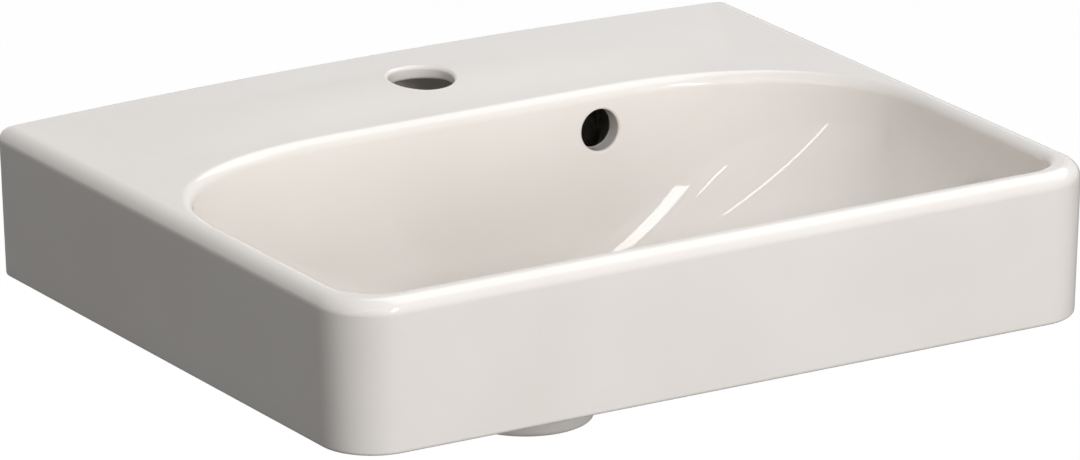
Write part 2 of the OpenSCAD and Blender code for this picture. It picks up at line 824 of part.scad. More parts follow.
module plunger() {
  color(steel)
    turned([
      [0, z_tip], [tip_r, z_tip], [tip_r, z_head],
      [cartridge_bore_r - run_gap, z_head], [cartridge_bore_r - run_gap, z_head_top],
      [stem_r, z_head_top], [stem_r, z_lock_nut],
      [plug_thread_r, z_lock_nut], [plug_thread_r, z_seal_low - spigot_h],
      [0, z_seal_low - spigot_h]
    ]);
}

module index_ring() {
  color(nylon)
    difference() {
      ring(tip_r + run_gap, cartridge_bore_r - run_gap, z_index, z_index_top);
      for (k = [0 : index_teeth - 1])
        translate([drain.x, drain.y, z_index])
          rotate([0, 0, 360 * k / index_teeth])
            rotate([45, 0, 0])
              translate([tip_r - over, -tooth_h / 2, -tooth_h / 2])
                cube([cartridge_bore_r, tooth_h, tooth_h]);
    }
}

// Return spring: a helix of wire between the cartridge's floor and the index ring
coil_rings = 8;
coil_sides = 6;
coil_side_gap = 0.5;
coil_r = cartridge_bore_r - coil_side_gap - spring_wire / 2;
z_coil_low = z_spring_low + spring_wire / 2 + end_gap;
z_coil_top = z_index - spring_wire / 2 - end_gap;
spring_path = [for (k = [0 : coil_rings * spring_turns])
  let (a = 360 * k / coil_rings)
  [coil_r * cos(a), coil_r * sin(a), lerp(z_coil_low, z_coil_top, k / (coil_rings * spring_turns))]];
// Least gap between one turn and the next, measured on the points
coil_gap = min([for (k = [coil_rings : len(spring_path) - 1])
  norm(spring_path[k] - spring_path[k - coil_rings]) - spring_wire]);
echo(spring_gap_open = coil_gap, spring_gap_closed = coil_gap - plug_travel / spring_turns);

module return_spring() {
  last = len(spring_path) - 1;
  color(steel)
    translate([drain.x, drain.y, 0])
      polyhedron(
        points = [for (k = [0 : last]) for (j = [0 : coil_sides - 1])
          let (
            p = spring_path[k],
            out = unit([p.x, p.y, 0]),
            b = 360 * j / coil_sides
          )
          p + spring_wire / 2 * (cos(b) * out + sin(b) * [0, 0, 1])],
        faces = concat(
          [[for (j = [0 : coil_sides - 1]) j]],
          [[for (j = [coil_sides - 1 : -1 : 0]) last * coil_sides + j]],
          [for (k = [0 : last - 1]) for (j = [0 : coil_sides - 1])
            let (
              a = k * coil_sides + j,
              b = k * coil_sides + (j + 1) % coil_sides
            )
            each [[a, a + coil_sides, b], [b, a + coil_sides, b + coil_sides]]]
        )
      );
}

ceramic_basin();
fixing_sleeves();
fixing_washers();
fixing_nuts();
waste_body();
flange_gasket();
lower_seal();
slip_washer();
ring_nut();
cartridge_housing();
cartridge_washer();
cartridge_bush();
stem_seal();
return_spring();
plug_cap();
plug_seal();
plug_carrier();
plug_lock_nut();
plunger();
index_ring();
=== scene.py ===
# %% [markdown]
# A wall-hung hand basin, dressed for its photograph.
#
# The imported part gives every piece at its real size. This script gives them their looks. The china body is
# modelled afresh, because glaze never ends in the crisp edge of a cut solid, and the metal and rubber pieces
# get the rounded edges and threads that they really have. Nothing that moves or fits is moved here.
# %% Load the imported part
from math import copysign, cos, hypot, pi, radians, sin, sqrt, tan

import bmesh
import bpy
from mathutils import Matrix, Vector


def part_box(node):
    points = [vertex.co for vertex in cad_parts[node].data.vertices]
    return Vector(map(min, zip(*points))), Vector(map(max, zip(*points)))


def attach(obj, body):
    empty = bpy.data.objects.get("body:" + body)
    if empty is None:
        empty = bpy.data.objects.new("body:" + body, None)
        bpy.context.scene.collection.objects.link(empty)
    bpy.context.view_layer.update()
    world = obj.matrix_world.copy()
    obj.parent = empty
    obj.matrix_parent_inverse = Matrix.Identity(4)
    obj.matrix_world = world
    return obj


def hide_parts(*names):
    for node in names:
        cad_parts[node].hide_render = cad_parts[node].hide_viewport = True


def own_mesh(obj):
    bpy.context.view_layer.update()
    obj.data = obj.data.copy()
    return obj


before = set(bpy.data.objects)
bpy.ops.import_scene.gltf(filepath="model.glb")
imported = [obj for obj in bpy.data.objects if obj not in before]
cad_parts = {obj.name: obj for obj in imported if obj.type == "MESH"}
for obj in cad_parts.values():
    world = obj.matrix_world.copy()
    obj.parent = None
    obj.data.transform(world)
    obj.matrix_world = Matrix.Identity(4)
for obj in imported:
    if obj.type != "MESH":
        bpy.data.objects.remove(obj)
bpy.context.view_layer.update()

# %% [markdown]
# The photograph was taken from far away with a long lens, so the basin hardly tapers in it. The camera is set
# by its place, a bearing to the right of straight ahead and a dip below the horizon.
# %% Camera
MM = 0.001
CAMERA_PLACE = Vector((-2.59648, -4.41643, 1.58481))
CAMERA_BEARING = radians(31.46)
CAMERA_DIP = radians(17.64)
CAMERA_ROLL = radians(-0.09)
LENS_MM = 336.2
SENSOR_MM = 36
CLIP_END = 200

bpy.ops.object.camera_add(location=CAMERA_PLACE)
camera = bpy.context.object
camera.name = "camera"
camera.rotation_euler = (pi / 2 - CAMERA_DIP, 0, -CAMERA_BEARING)
camera.rotation_euler.rotate_axis("Z", CAMERA_ROLL)
camera.data.sensor_width = SENSOR_MM
camera.data.lens = LENS_MM
camera.data.clip_end = CLIP_END
bpy.context.scene.camera = camera
print("camera stands", round(CAMERA_PLACE.length, 2), "m from the wall fixings")

# %% [markdown]
# Colours are picked as sRGB hex values, and a finish's sockets want linear light. The helpers turn the one
# into the other, add a node, start a finish with one shader, and lay patterns over it.
# %% Helpers for finishes
# Most of a noise pattern lies between these values, for tones and for numbers.
TONES_AT, SPREAD_AT = (0.35, 0.65), (0.3, 0.7)


def linear(hex_colour):
    """An sRGB hex value, such as "E8E3DE", as a linear colour with alpha."""
    values = [int(hex_colour[k:k + 2], 16) / 255 for k in (0, 2, 4)]
    return [v / 12.92 if v <= 0.04045 else ((v + 0.055) / 1.055) ** 2.4 for v in values] + [1]


def add_node(tree, kind, settings=None, links=None):
    """A node of that kind. settings go to its properties or sockets, and links to its sockets."""
    node = tree.nodes.new("ShaderNode" + kind)
    for name, value in (settings or {}).items():
        if isinstance(name, str) and hasattr(node, name):
            setattr(node, name, value)
        else:
            node.inputs[name].default_value = value
    for name, source in (links or {}).items():
        tree.links.new(source, node.inputs[name])
    return node


def start_finish(name, settings):
    """A finish, its node tree, its one shader and the object's place."""
    finish = bpy.data.materials.new(name)
    finish.use_nodes = True
    tree = finish.node_tree
    tree.nodes.clear()
    shader = add_node(tree, "BsdfPrincipled", settings)
    add_node(tree, "OutputMaterial", links={"Surface": shader.outputs["BSDF"]})
    place = add_node(tree, "TexCoord").outputs["Object"]
    return finish, tree, shader, place


def two_tones(tree, pattern, low, high):
    """A colour that runs between two hex tones as the pattern rises."""
    ramp = add_node(tree, "ValToRGB", links={"Fac": pattern})
    for end, place, tone in zip(ramp.color_ramp.elements, TONES_AT, (low, high)):
        end.position = place
        end.color = linear(tone)
    return ramp.outputs["Color"]


def spread(tree, pattern, low, high):
    """A number that runs from low to high as the pattern rises."""
    return add_node(tree, "MapRange", {
        "From Min": SPREAD_AT[0], "From Max": SPREAD_AT[1], "To Min": low, "To Max": high}, {
        "Value": pattern}).outputs["Result"]


def maths(tree, operation, *terms):
    """The result of an operation on numbers and the outputs of other nodes."""
    numbers = {k: term for k, term in enumerate(terms) if isinstance(term, (int, float))}
    outputs = {k: term for k, term in enumerate(terms) if k not in numbers}
    return add_node(tree, "Math", {"operation": operation, **numbers}, outputs).outputs["Value"]


def noise(tree, place, size_mm, detail=2):
    """A cloud pattern whose blots are about that size."""
    return add_node(tree, "TexNoise", {"Scale": 1 / (size_mm * MM), "Detail": detail},
                    {"Vector": place}).outputs["Fac"]


def raise_by(tree, shader, pattern, height_mm):
    """The pattern stands up by that height in the shader's surface."""
    bump = add_node(tree, "Bump", {"Distance": height_mm * MM}, {"Height": pattern})
    tree.links.new(bump.outputs["Normal"], shader.inputs["Normal"])
    return bump


# %% [markdown]
# Vitreous china is a white clay body under a fired coat of clear glass, which gives weak, sharp reflections
# over a soft white: a dull base under a smooth coat. A glaze is never quite flat nor quite even, so it keeps a
# long, faint wave, and its white drifts a little. Where the basin meets the wall it was wiped before firing,
# and the bare body shows, warmer and dull.
# %% Glazed vitreous china
GLAZE_WAVE_MM, GLAZE_WAVE_HIGH_MM = 18, 0.03
GLAZE_DRIFT_MM = 90
BARE_GRAIN_MM, BARE_BACK_MM = 0.6, 0.3


def glazed_china():
    """Glaze, with the bare body within a hair of the back face."""
    finish, tree, shader, place = start_finish("glazed vitreous china", {
        "Roughness": 0.5, "IOR": 1.5, "Coat Roughness": 0.03, "Coat IOR": 1.5})
    apart = add_node(tree, "SeparateXYZ", links={"Vector": place})
    bare = maths(tree, "GREATER_THAN", apart.outputs["Y"], -BARE_BACK_MM * MM)
    glaze = two_tones(tree, noise(tree, place, GLAZE_DRIFT_MM), "E6E0DA", "E9E4DF")
    body = two_tones(tree, noise(tree, place, BARE_GRAIN_MM), "CFC6B8", "DED6C9")
    colour = add_node(tree, "Mix", {"data_type": "RGBA"}, {0: bare, 6: glaze, 7: body})
    tree.links.new(colour.outputs[2], shader.inputs["Base Color"])
    tree.links.new(maths(tree, "SUBTRACT", 1.0, bare), shader.inputs["Coat Weight"])
    wave = raise_by(tree, shader, noise(tree, place, GLAZE_WAVE_MM, 1), GLAZE_WAVE_HIGH_MM)
    tree.links.new(wave.outputs["Normal"], shader.inputs["Coat Normal"])
    return finish


def duct_shade_china():
    """Inside the overflow's duct the spray never reached the slip, so the body is raw and dull. Its colour is
    painted shade: near black and a little uneven, for the dark deep in the duct.
    """
    finish, tree, shader, place = start_finish("raw china painted dark as duct shade", {"Roughness": 0.9, "IOR": 1.5})
    tree.links.new(two_tones(tree, noise(tree, place, 4), "1E1C18", "35312A"), shader.inputs["Base Color"])
    raise_by(tree, shader, noise(tree, place, 1.5), 0.1)
    return finish


GLAZED = glazed_china()
# The duct's finish is painted shade: its near-black stands for the dark deep inside the overflow.
DUCT_SHADE_CHINA = duct_shade_china()
print("finishes:", [finish.name for finish in (GLAZED, DUCT_SHADE_CHINA)])

# %% [markdown]
# The basin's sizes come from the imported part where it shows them: the outer box, the level of the drain's
# seat and the drain's place. The roundings and rims are typed here, in millimetres.
# %% Sizes of the china
basin_low, basin_high = (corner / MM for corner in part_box("ceramic_basin"))
cap_low, cap_high = (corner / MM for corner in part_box("plug_cap"))
gasket_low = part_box("flange_gasket")[0] / MM
DRAIN = Vector(((cap_low.x + cap_high.x) / 2, (cap_low.y + cap_high.y) / 2))

APRON_H, TOTAL_H = 81, 153
DECK_RISE, DECK_CROWN = 4, 3.5
SHELL_T, DECK_T, APRON_T = 9, 7, 11
HALF_W, DEPTH = basin_high.x, -basin_low.y
BOSS_FOOT = basin_low.z
TOP = BOSS_FOOT + TOTAL_H
FOOT = TOP - APRON_H
SEAT, SEAT_DEPTH = gasket_low.z, 3.5
FLOOR = SEAT + SEAT_DEPTH
BOWL_DEPTH = TOP - FLOOR

FRONT_CORNER_R, REAR_CORNER_R, LEAST_CORNER_R = 32, 4, 6
TOP_EDGE_R, WALL_EDGE_R, FOOT_R = 8.5, 3, 2
SIDE_DRAFT, FRONT_DRAFT = 2.6, 1.9
INNER_IN = SIDE_DRAFT + APRON_T

RIM_SIDE_W, RIM_FRONT_W = 14, 13.5
LIP_X, LIP_FRONT, LIP_REAR = HALF_W - RIM_SIDE_W, RIM_FRONT_W - DEPTH, -108
FRONT_LIP_R, SIDE_LIP_R, REAR_LIP_R = 3, 5, 7
REAR_STRAIGHT, BOWL_CORNER_R = 74.5, 25
CORNER_LONG, CORNER_FULLNESS = 107, 2.41
CORNER_Y = LIP_REAR - CORNER_LONG
print("drain at", tuple(DRAIN), "floor at", FLOOR, "top at", TOP)

# %% [markdown]
# The china is one skin that runs up the apron, over the deck, down the bowl and back along the underside. Each
# of its rings has one point on each spoke that fans out from the drain, so that the rings can be extruded one
# from another. An outline is drawn from the middle of the wall to the middle of the front, then mirrored.
# %% Outlines seen from above
FINE = 3
REAR, WALL, WALL_CORNER, SIDE_REAR, SIDE, FRONT_CORNER, FRONT = (FINE * k for k in (5, 5, 3, 6, 4, 6, 7))
SIDE_CHANGE = 20


def blend(a, b, t):
    return a + (b - a) * t


def steps(a, b, n):
    """n values from a towards b, with b left out."""
    return [blend(a, b, k / n) for k in range(n)]


def quarter(n, start=0, end=90):
    """n angles from start towards end, in radians, with the end left out."""
    return [radians(a) for a in steps(start, end, n)]


def whole_turn(n):
    """n angles all the way round, in radians."""
    return [2 * pi * k / n for k in range(n)]


def both_halves(half):
    """The whole ring from its right half, as points."""
    return [Vector(p) for p in half] + [Vector((-p[0], p[1])) for p in half[-2:0:-1]]


def both_values(half):
    """The same, as numbers."""
    return list(half) + list(half[-2:0:-1])


def bowl_corner(t):
    """A point of the bowl's wide rear corner, from the rear edge at 0 to the side at 1."""
    across = sin(pi / 2 * t) ** (2 / CORNER_FULLNESS)
    along = max(cos(pi / 2 * t), 0) ** (2 / CORNER_FULLNESS)
    return blend(REAR_STRAIGHT, LIP_X, across), blend(CORNER_Y, LIP_REAR, along)


def turned_corner(x, y, r):
    """A front corner of that radius whose straight edges lie at x and y."""
    return [(x + r * (cos(a) - 1), y + r * (1 - sin(a))) for a in quarter(FRONT_CORNER)]


LIP = both_halves(
    [(x, LIP_REAR) for x in steps(0, REAR_STRAIGHT, REAR)]
    + [bowl_corner(t) for t in steps(0, 1, WALL + WALL_CORNER + SIDE_REAR)]
    + [(LIP_X, y) for y in steps(CORNER_Y, LIP_FRONT + BOWL_CORNER_R, SIDE)]
    + turned_corner(LIP_X, LIP_FRONT, BOWL_CORNER_R)
    + [(x, LIP_FRONT) for x in steps(LIP_X - BOWL_CORNER_R, 0, FRONT)]
    + [(0, LIP_FRONT)])
COUNT = len(LIP)
LIP_OUT = [Vector((-run.y, run.x)).normalized()
           for run in (LIP[(k + 1) % COUNT] - LIP[k - 1] for k in range(COUNT))]
LIP_R = both_values(
    [REAR_LIP_R] * REAR
    + [blend(REAR_LIP_R, SIDE_LIP_R, t ** 2) for t in steps(0, 1, WALL + WALL_CORNER + SIDE_REAR)]
    + [SIDE_LIP_R] * SIDE
    + steps(SIDE_LIP_R, FRONT_LIP_R, FRONT_CORNER)
    + [FRONT_LIP_R] * (FRONT + 1))


def outline(side_in, front_in, wall_in):
    """The basin's outline drawn in by that much at the sides, the front and the wall."""
    x, y = HALF_W - side_in, front_in - DEPTH
    r = max(FRONT_CORNER_R - side_in, LEAST_CORNER_R)
    turn = CORNER_Y + SIDE_CHANGE
    return both_halves(
        [(k, -wall_in)
         for k in steps(0, REAR_STRAIGHT, REAR) + steps(REAR_STRAIGHT, x - REAR_CORNER_R, WALL)]
        + [(x + REAR_CORNER_R * (sin(a) - 1), -wall_in + REAR_CORNER_R * (cos(a) - 1))
           for a in quarter(WALL_CORNER)]
        + [(x, k) for k in steps(-wall_in - REAR_CORNER_R, turn, SIDE_REAR) + steps(turn, y + r, SIDE)]
        + turned_corner(x, y, r)
        + [(k, y) for k in steps(x - r, 0, FRONT)]
        + [(0, y)])


print("spokes:", COUNT, "outline points:", len(outline(0, 0, 0)))

# %% [markdown]
# The deck stands a little higher in the middle of the wall edge, so that splashes run back into the bowl, and
# it swells round the tap hole. Both fade out towards the sides, and the deck meets the bowl's lip level. The
# rounding from the deck into the bowl is wide at the rear and tight at the front.
# %% Rings of the apron, the deck and the lip
EDGE_R = both_values(
    [WALL_EDGE_R] * (REAR + WALL)
    + steps(WALL_EDGE_R, TOP_EDGE_R, WALL_CORNER)
    + [TOP_EDGE_R] * (SIDE_REAR + SIDE + FRONT_CORNER + FRONT + 1))
AWAY = both_values(
    steps(0, REAR_STRAIGHT, REAR)
    + steps(REAR_STRAIGHT, HALF_W - REAR_CORNER_R, WALL)
    + [HALF_W - REAR_CORNER_R] * (COUNT // 2 + 1 - REAR - WALL))
MIDDLE_SHARE = [1 - (x / (HALF_W - REAR_CORNER_R)) ** 2 for x in AWAY]


def deck_height(k, t):
    """How high the deck stands on spoke k, from the edge at 0 to the lip at 1. The rise falls off in an S, and
    the swell is a bell whose top, midway, is 1."""
    fall, swell = (1 - t) ** 2 * (1 + 2 * t), 16 * (t * (1 - t)) ** 2
    return MIDDLE_SHARE[k] * (DECK_RISE * fall + DECK_CROWN * swell)


def at_level(plan, z):
    return [Vector((p.x, p.y, z)) for p in plan]


def foot_ring(a):
    """The apron's foot, from underneath at angle 0 to its side at 90 degrees."""
    back = FOOT_R * (1 - sin(a))
    return at_level(outline(SIDE_DRAFT + back, FRONT_DRAFT + back, back), FOOT + FOOT_R * (1 - cos(a)))


def edge_ring(a):
    """The top edge, from the side at angle 0 to the deck at 90 degrees."""
    side, wall = TOP_EDGE_R * (1 - cos(a)), WALL_EDGE_R * (1 - cos(a))
    return [Vector((p.x, p.y, TOP + deck_height(k, 0) - EDGE_R[k] * (1 - sin(a))))
            for k, p in enumerate(outline(side, side, wall))]


def lip_ring(a):
    """The rounding into the bowl, from the deck at angle 0 to the bowl's wall at 90 degrees."""
    out, down = 1 - sin(a), 1 - cos(a)
    return [Vector((*(LIP[k] + LIP_OUT[k] * LIP_R[k] * out), TOP - LIP_R[k] * down)) for k in range(COUNT)]


def between(low, high, t):
    """A ring part of the way from one ring to another."""
    return [p.lerp(q, t) for p, q in zip(low, high)]


# %% [markdown]
# The bowl's wall sweeps into its floor along each spoke, in a quarter of an ellipse, and the floor then falls
# gently to the drain. The underside follows the same curve, one shell's thickness further out.
# %% Rings of the bowl and its underside
SWEEP_W, SWEEP_SHARE = 115, 0.9
FLOOR_FALL = 0.05
BEND = 0.8
SEAT_RING_R = 33.7
BOSS_R, BOSS_OVERLAP = 36, 2


def sweep(u, run, drop, extra):
    """How far in and down a point lies, as u runs from 0 at the lip, past BEND at the curve's end, to 1."""
    w = min(SWEEP_W + extra, SWEEP_SHARE * run)
    fall = FLOOR_FALL * (run - w)
    a = pi / 2 * min(u / BEND, 1)
    k = max(u - BEND, 0) / (1 - BEND)
    return w * (1 - cos(a)) + (run - w) * k, (drop - fall) * sin(a) + fall * k


def spoke_point(k, start, end_r, drop, extra, u):
    """A point on spoke k, from start towards the drain, where the spoke ends at radius end_r."""
    way = start - DRAIN
    inward, down = sweep(u, way.length - end_r, drop, extra)
    p = DRAIN + way.normalized() * (way.length - inward)
    return Vector((p.x, p.y, TOP - LIP_R[k] - down))


def bowl_point(k, u):
    return spoke_point(k, LIP[k], SEAT_RING_R, BOWL_DEPTH - LIP_R[k], 0, u)


def under_point(k, u):
    start = LIP[k] + SHELL_T * LIP_OUT[k]
    return spoke_point(k, start, BOSS_R - BOSS_OVERLAP, BOWL_DEPTH - LIP_R[k] + SHELL_T, SHELL_T, u)


# %% [markdown]
# Where the bowl's back would run into the apron or the deck, the two are one thickness of china. So the
# underside ends at its crest, the highest place that is open below the deck and clear of the apron, and from
# there the skin runs out to the apron's inner face and down it.
# %% Crest of the underside
CREST_GAP = 2
HALVINGS, LEAST_U = 14, 0.001
INNER_R, INNER_FILLET = FRONT_CORNER_R - INNER_IN, 1.5
CEILING_BEND = 3
SKIN_HOLE_R = 20


def inside_apron(p):
    """How far a point lies inside the apron's inner face."""
    across = abs(p.x) - (HALF_W - INNER_IN - INNER_R)
    along = abs(p.y + DEPTH / 2) - (DEPTH / 2 - INNER_IN - INNER_R)
    return INNER_R - hypot(max(across, 0), max(along, 0)) - min(max(across, along), 0)


def crest_of(k):
    """Where spoke k's underside ends, as a value of u."""
    low, high = 0, 1
    for _ in range(HALVINGS):
        middle = (low + high) / 2
        p = under_point(k, middle)
        if p.z <= TOP - DECK_T and inside_apron(p) >= CREST_GAP:
            high = middle
        else:
            low = middle
    return high


CREST = [crest_of(k) for k in range(COUNT)]
CREST_POINTS = [under_point(k, CREST[k]) for k in range(COUNT)]
CEILING = [TOP - DECK_T if CREST[k] < LEAST_U else CREST_POINTS[k].z for k in range(COUNT)]


def ceiling_rise(k, t):
    """How much the underside swells with the deck, where it is the deck's own underside."""
    return deck_height(k, t) if CREST[k] < LEAST_U else 0


def ceiling_ring(t):
    """The underside of the deck, from the apron at 0 to the bowl's back at 1."""
    inner = outline(*[INNER_IN + INNER_FILLET] * 3)
    heights = [blend(CEILING[k], CREST_POINTS[k].z, t ** CEILING_BEND) + ceiling_rise(k, t)
               for k in range(COUNT)]
    return [Vector((*blend(p, crest.to_2d(), t), z)) for p, crest, z in zip(inner, CREST_POINTS, heights)]


def inner_fillet_ring(a):
    """The rounding from the ceiling at angle 0 to the apron's inner face at 90 degrees."""
    drawn_in = INNER_IN + INNER_FILLET * (1 - sin(a))
    return [Vector((p.x, p.y, CEILING[k] + ceiling_rise(k, 0) - INNER_FILLET * (1 - cos(a))))
            for k, p in enumerate(outline(drawn_in, drawn_in, drawn_in))]


def inner_foot_ring(a):
    """The rounding from the apron's inner face at angle 0 to its foot at 90 degrees."""
    drawn_in = INNER_IN - FOOT_R * (1 - cos(a))
    return at_level(outline(drawn_in, drawn_in, drawn_in), FOOT + FOOT_R * (1 - sin(a)))


def drain_ring(z):
    """A small ring about the drain, which the drain hole is later cut through."""
    return [Vector((*(DRAIN + SKIN_HOLE_R * (p - DRAIN).normalized()), z)) for p in LIP]


print("underside crest from", round(min(CEILING), 1), "to", round(max(CEILING), 1), "mm")

# %% [markdown]
# Now the modelling by hand: a circle with a point for every spoke, extruded ring by ring. Each point keeps its
# spoke's number in a layer, which an extrusion copies, and the last ring is bridged to the first.
# %% Helpers for modelling


def only(piece):
    """That piece alone is selected and active."""
    bpy.ops.object.select_all(action="DESELECT")
    piece.select_set(True)
    bpy.context.view_layer.objects.active = piece


def finished(piece, name, finish=None):
    """The piece's name and finish, with its place moved into its mesh."""
    only(piece)
    bpy.ops.object.transform_apply(location=True, rotation=True, scale=True)
    piece.name = piece.data.name = name
    if finish:
        piece.data.materials.clear()
        piece.data.materials.append(finish)
    return piece


def extruded_rings(name, rings, closed, finish=None):
    """A skin through rings of points, in millimetres. A closed one runs back to its first ring, and the
    ends of an open one are filled."""
    bpy.ops.object.select_all(action="DESELECT")
    bpy.ops.mesh.primitive_circle_add(vertices=len(rings[0]), radius=1, fill_type="NOTHING")
    piece = bpy.context.object
    bpy.ops.object.mode_set(mode="EDIT")
    bpy.ops.mesh.select_mode(type="EDGE")
    skin = bmesh.from_edit_mesh(piece.data)
    spoke = skin.verts.layers.int.new("spoke")
    skin.verts.ensure_lookup_table()
    for number, vert in enumerate(skin.verts):
        vert[spoke] = number
        vert.co = rings[0][number] * MM
    for ring in rings[1:]:
        bpy.ops.mesh.extrude_edges_indiv()
        skin = bmesh.from_edit_mesh(piece.data)
        spoke = skin.verts.layers.int["spoke"]
        for vert in skin.verts:
            if vert.select:
                vert.co = ring[vert[spoke]] * MM
    bpy.ops.mesh.select_all(action="DESELECT")
    bpy.ops.mesh.select_non_manifold()
    if closed:
        bpy.ops.mesh.bridge_edge_loops()
    else:
        bpy.ops.mesh.fill_holes(sides=0)
    bpy.ops.mesh.select_all(action="SELECT")
    bpy.ops.mesh.normals_make_consistent(inside=False)
    bpy.ops.object.mode_set(mode="OBJECT")
    return finished(piece, name, finish)


# %% [markdown]
# The rings are closest where the skin turns quickly, and a few more lie on the deck and the apron, so that the
# faces round the holes stay small and shade evenly.
# %% China skin
FOOT_RINGS, EDGE_RINGS, LIP_RINGS, FLAT_RINGS = 3, 8, 8, 7
DECK_RINGS, BOWL_RINGS, UNDER_RINGS = 14, 40, 16


def through(ring, n):
    """n + 1 rings of a rounding."""
    return [ring(a) for a in quarter(n) + [pi / 2]]


def deck_ring(t):
    """The deck, from the edge at 0 to the lip at 1."""
    plan = between(deck_edge, deck_lip, t)
    return [Vector((p.x, p.y, TOP + deck_height(k, t))) for k, p in enumerate(plan)]


deck_edge, deck_lip = edge_ring(pi / 2), lip_ring(0)
apron_low, apron_high = foot_ring(pi / 2), edge_ring(0)
skin_rings = (
    through(foot_ring, FOOT_RINGS)
    + [between(apron_low, apron_high, k / FLAT_RINGS) for k in range(1, FLAT_RINGS)]
    + through(edge_ring, EDGE_RINGS)
    + [deck_ring(k / DECK_RINGS) for k in range(1, DECK_RINGS)]
    + through(lip_ring, LIP_RINGS)
    + [[bowl_point(k, j / BOWL_RINGS) for k in range(COUNT)] for j in range(1, BOWL_RINGS + 1)]
    + [drain_ring(FLOOR), drain_ring(FLOOR - SHELL_T)]
    + [[under_point(k, blend(1, CREST[k], j / UNDER_RINGS)) for k in range(COUNT)]
       for j in range(UNDER_RINGS + 1)]
    + [ceiling_ring(1 - k / DECK_RINGS) for k in range(1, DECK_RINGS)]
    + through(inner_fillet_ring, FOOT_RINGS)
    + through(inner_foot_ring, FOOT_RINGS))
china = extruded_rings("basin_china", skin_rings, closed=True, finish=GLAZED)
print("china skin:", len(skin_rings), "rings,", len(china.data.polygons), "faces")

# %% [markdown]
# Most of what is still to come is turned: it has the same section all the way round, and is extruded as the
# skin was. A rounded corner is a run of points on an arc. Shapes are joined or cut by an exact boolean.
# %% Turned shapes
AROUND = 96
FIXING_X = 140
CORNER_SHARE = 0.45


def about(x, y):
    """A function that gives the point at a radius, a turn and a height about the upright axis there."""
    return lambda r, turn, z: Vector((x + r * cos(turn), y + r * sin(turn), z))


about_drain = about(*DRAIN)


def about_fixing(side):
    """The same about the axis of a wall fixing, where the height runs along Y."""
    return lambda r, turn, y: Vector((side * FIXING_X + r * cos(turn), y, r * sin(turn)))


def arc(r, h, size, start, end, n=5):
    """n + 1 points on an arc of that size about (r, h), from one angle in degrees to another."""
    angles = [radians(blend(start, end, k / n)) for k in range(n + 1)]
    return [(r + size * cos(a), h + size * sin(a)) for a in angles]


def round_off(r, h, size, start, end, n=5):
    """The same, for the rounding of the corner at (r, h), which the arc passes midway."""
    midway = radians((start + end) / 2)
    middle = (r - copysign(size, cos(midway)), h - copysign(size, sin(midway)))
    return arc(*middle, size, start, end, n)


def hoop(inner, outer, start, end):
    """The section of a plain ring, from one level to another."""
    return [(inner, start), (outer, start), (outer, end), (inner, end)]


def turned(name, profile, place=about_drain, closed=True, finish=GLAZED):
    """A shape turned from points of radius and height, either of which may be a function of the turn. A closed
    shape has a bore, an open one is filled."""
    rings = [[place(r(t) if callable(r) else r, t, h(t) if callable(h) else h) for t in whole_turn(AROUND)]
             for r, h in profile]
    return extruded_rings(name, rings, closed, finish)


def rounded(corners, size, is_open=False, n=3):
    """The line through the corners, each rounded over that length on either side, or over CORNER_SHARE of the
    way to the next if that is less. The ends of an open line stay."""
    corners = [Vector(corner) for corner in corners]
    line = []
    for k, corner in enumerate(corners):
        before, after = corners[k - 1], corners[(k + 1) % len(corners)]
        if is_open and k in (0, len(corners) - 1):
            line.append(corner)
            continue
        reach = min(size, CORNER_SHARE * (before - corner).length, CORNER_SHARE * (after - corner).length)
        start = corner + reach * (before - corner).normalized()
        end = corner + reach * (after - corner).normalized()
        line += [start.lerp(corner, j / n).lerp(corner.lerp(end, j / n), j / n) for j in range(n + 1)]
    return line


def joined(pieces):
    """Pieces that lie apart, as one object."""
    bpy.ops.object.select_all(action="DESELECT")
    for piece in pieces:
        piece.select_set(True)
    bpy.context.view_layer.objects.active = pieces[0]
    bpy.ops.object.join()
    return bpy.context.object


def at_fixings(name, profile, closed=False, finish=GLAZED):
    """The same turned shape at both wall fixings."""
    return joined([turned(name, profile, about_fixing(side), closed, finish) for side in (-1, 1)])


def combine(target, tool, operation):
    """The tool is joined to the target or cut from it, and is then gone. Its finish comes along."""
    only(target)
    boolean = target.modifiers.new(operation.lower(), "BOOLEAN")
    boolean.operation = operation
    boolean.solver = "EXACT"
    boolean.material_mode = "TRANSFER"
    boolean.object = tool
    bpy.ops.object.modifier_apply(modifier=boolean.name)
    bpy.data.objects.remove(tool)


# %% [markdown]
# Under the bowl the china carries a round boss that flares into the shell, and behind it the overflow's duct,
# a tube that bends round into the boss. The back wall is thickened to a round pad at each wall fixing.
# %% Boss, duct and pads
BOSS_FLARE, BOSS_FOOT_R, BOSS_BITE = 6, 3, 0.4
DUCT_R, DUCT_T, DUCT_BEND, DUCT_BEND_STEPS = 10, 5, 14, 8
DUCT_CORNERS = [Vector(p) for p in (
    (76.8, -89, 27.6), (76.8, -89, -43.25), (64.8, -99, -73.25), (20, -142, -73.25))]
PAD_R, PAD_END, PAD_EDGE_R = 20, -18.6, 1.5
PAD_FLARE, PAD_BITE = 2, 0.2
TUBE_AROUND, DOME_STEPS, DOME_START = 48, 6, 80


def tube(name, route, r, finish=GLAZED):
    """A bar of that radius along the route, with a domed start and a flat end."""
    ways = [(after - before).normalized()
            for before, after in zip([route[0]] + route, route[1:] + [route[-1]])]
    aside = Vector((ways[-1].y, -ways[-1].x, 0)).normalized()
    stations = [(route[0] - r * sin(a) * ways[0], ways[0], r * cos(a))
                for a in quarter(DOME_STEPS, DOME_START, 0)]
    stations += [(p, way, r) for p, way in zip(route, ways)]
    rings = [[p + size * (cos(t) * aside + sin(t) * way.cross(aside))
              for t in whole_turn(TUBE_AROUND)] for p, way, size in stations]
    return extruded_rings(name, rings, closed=False, finish=finish)


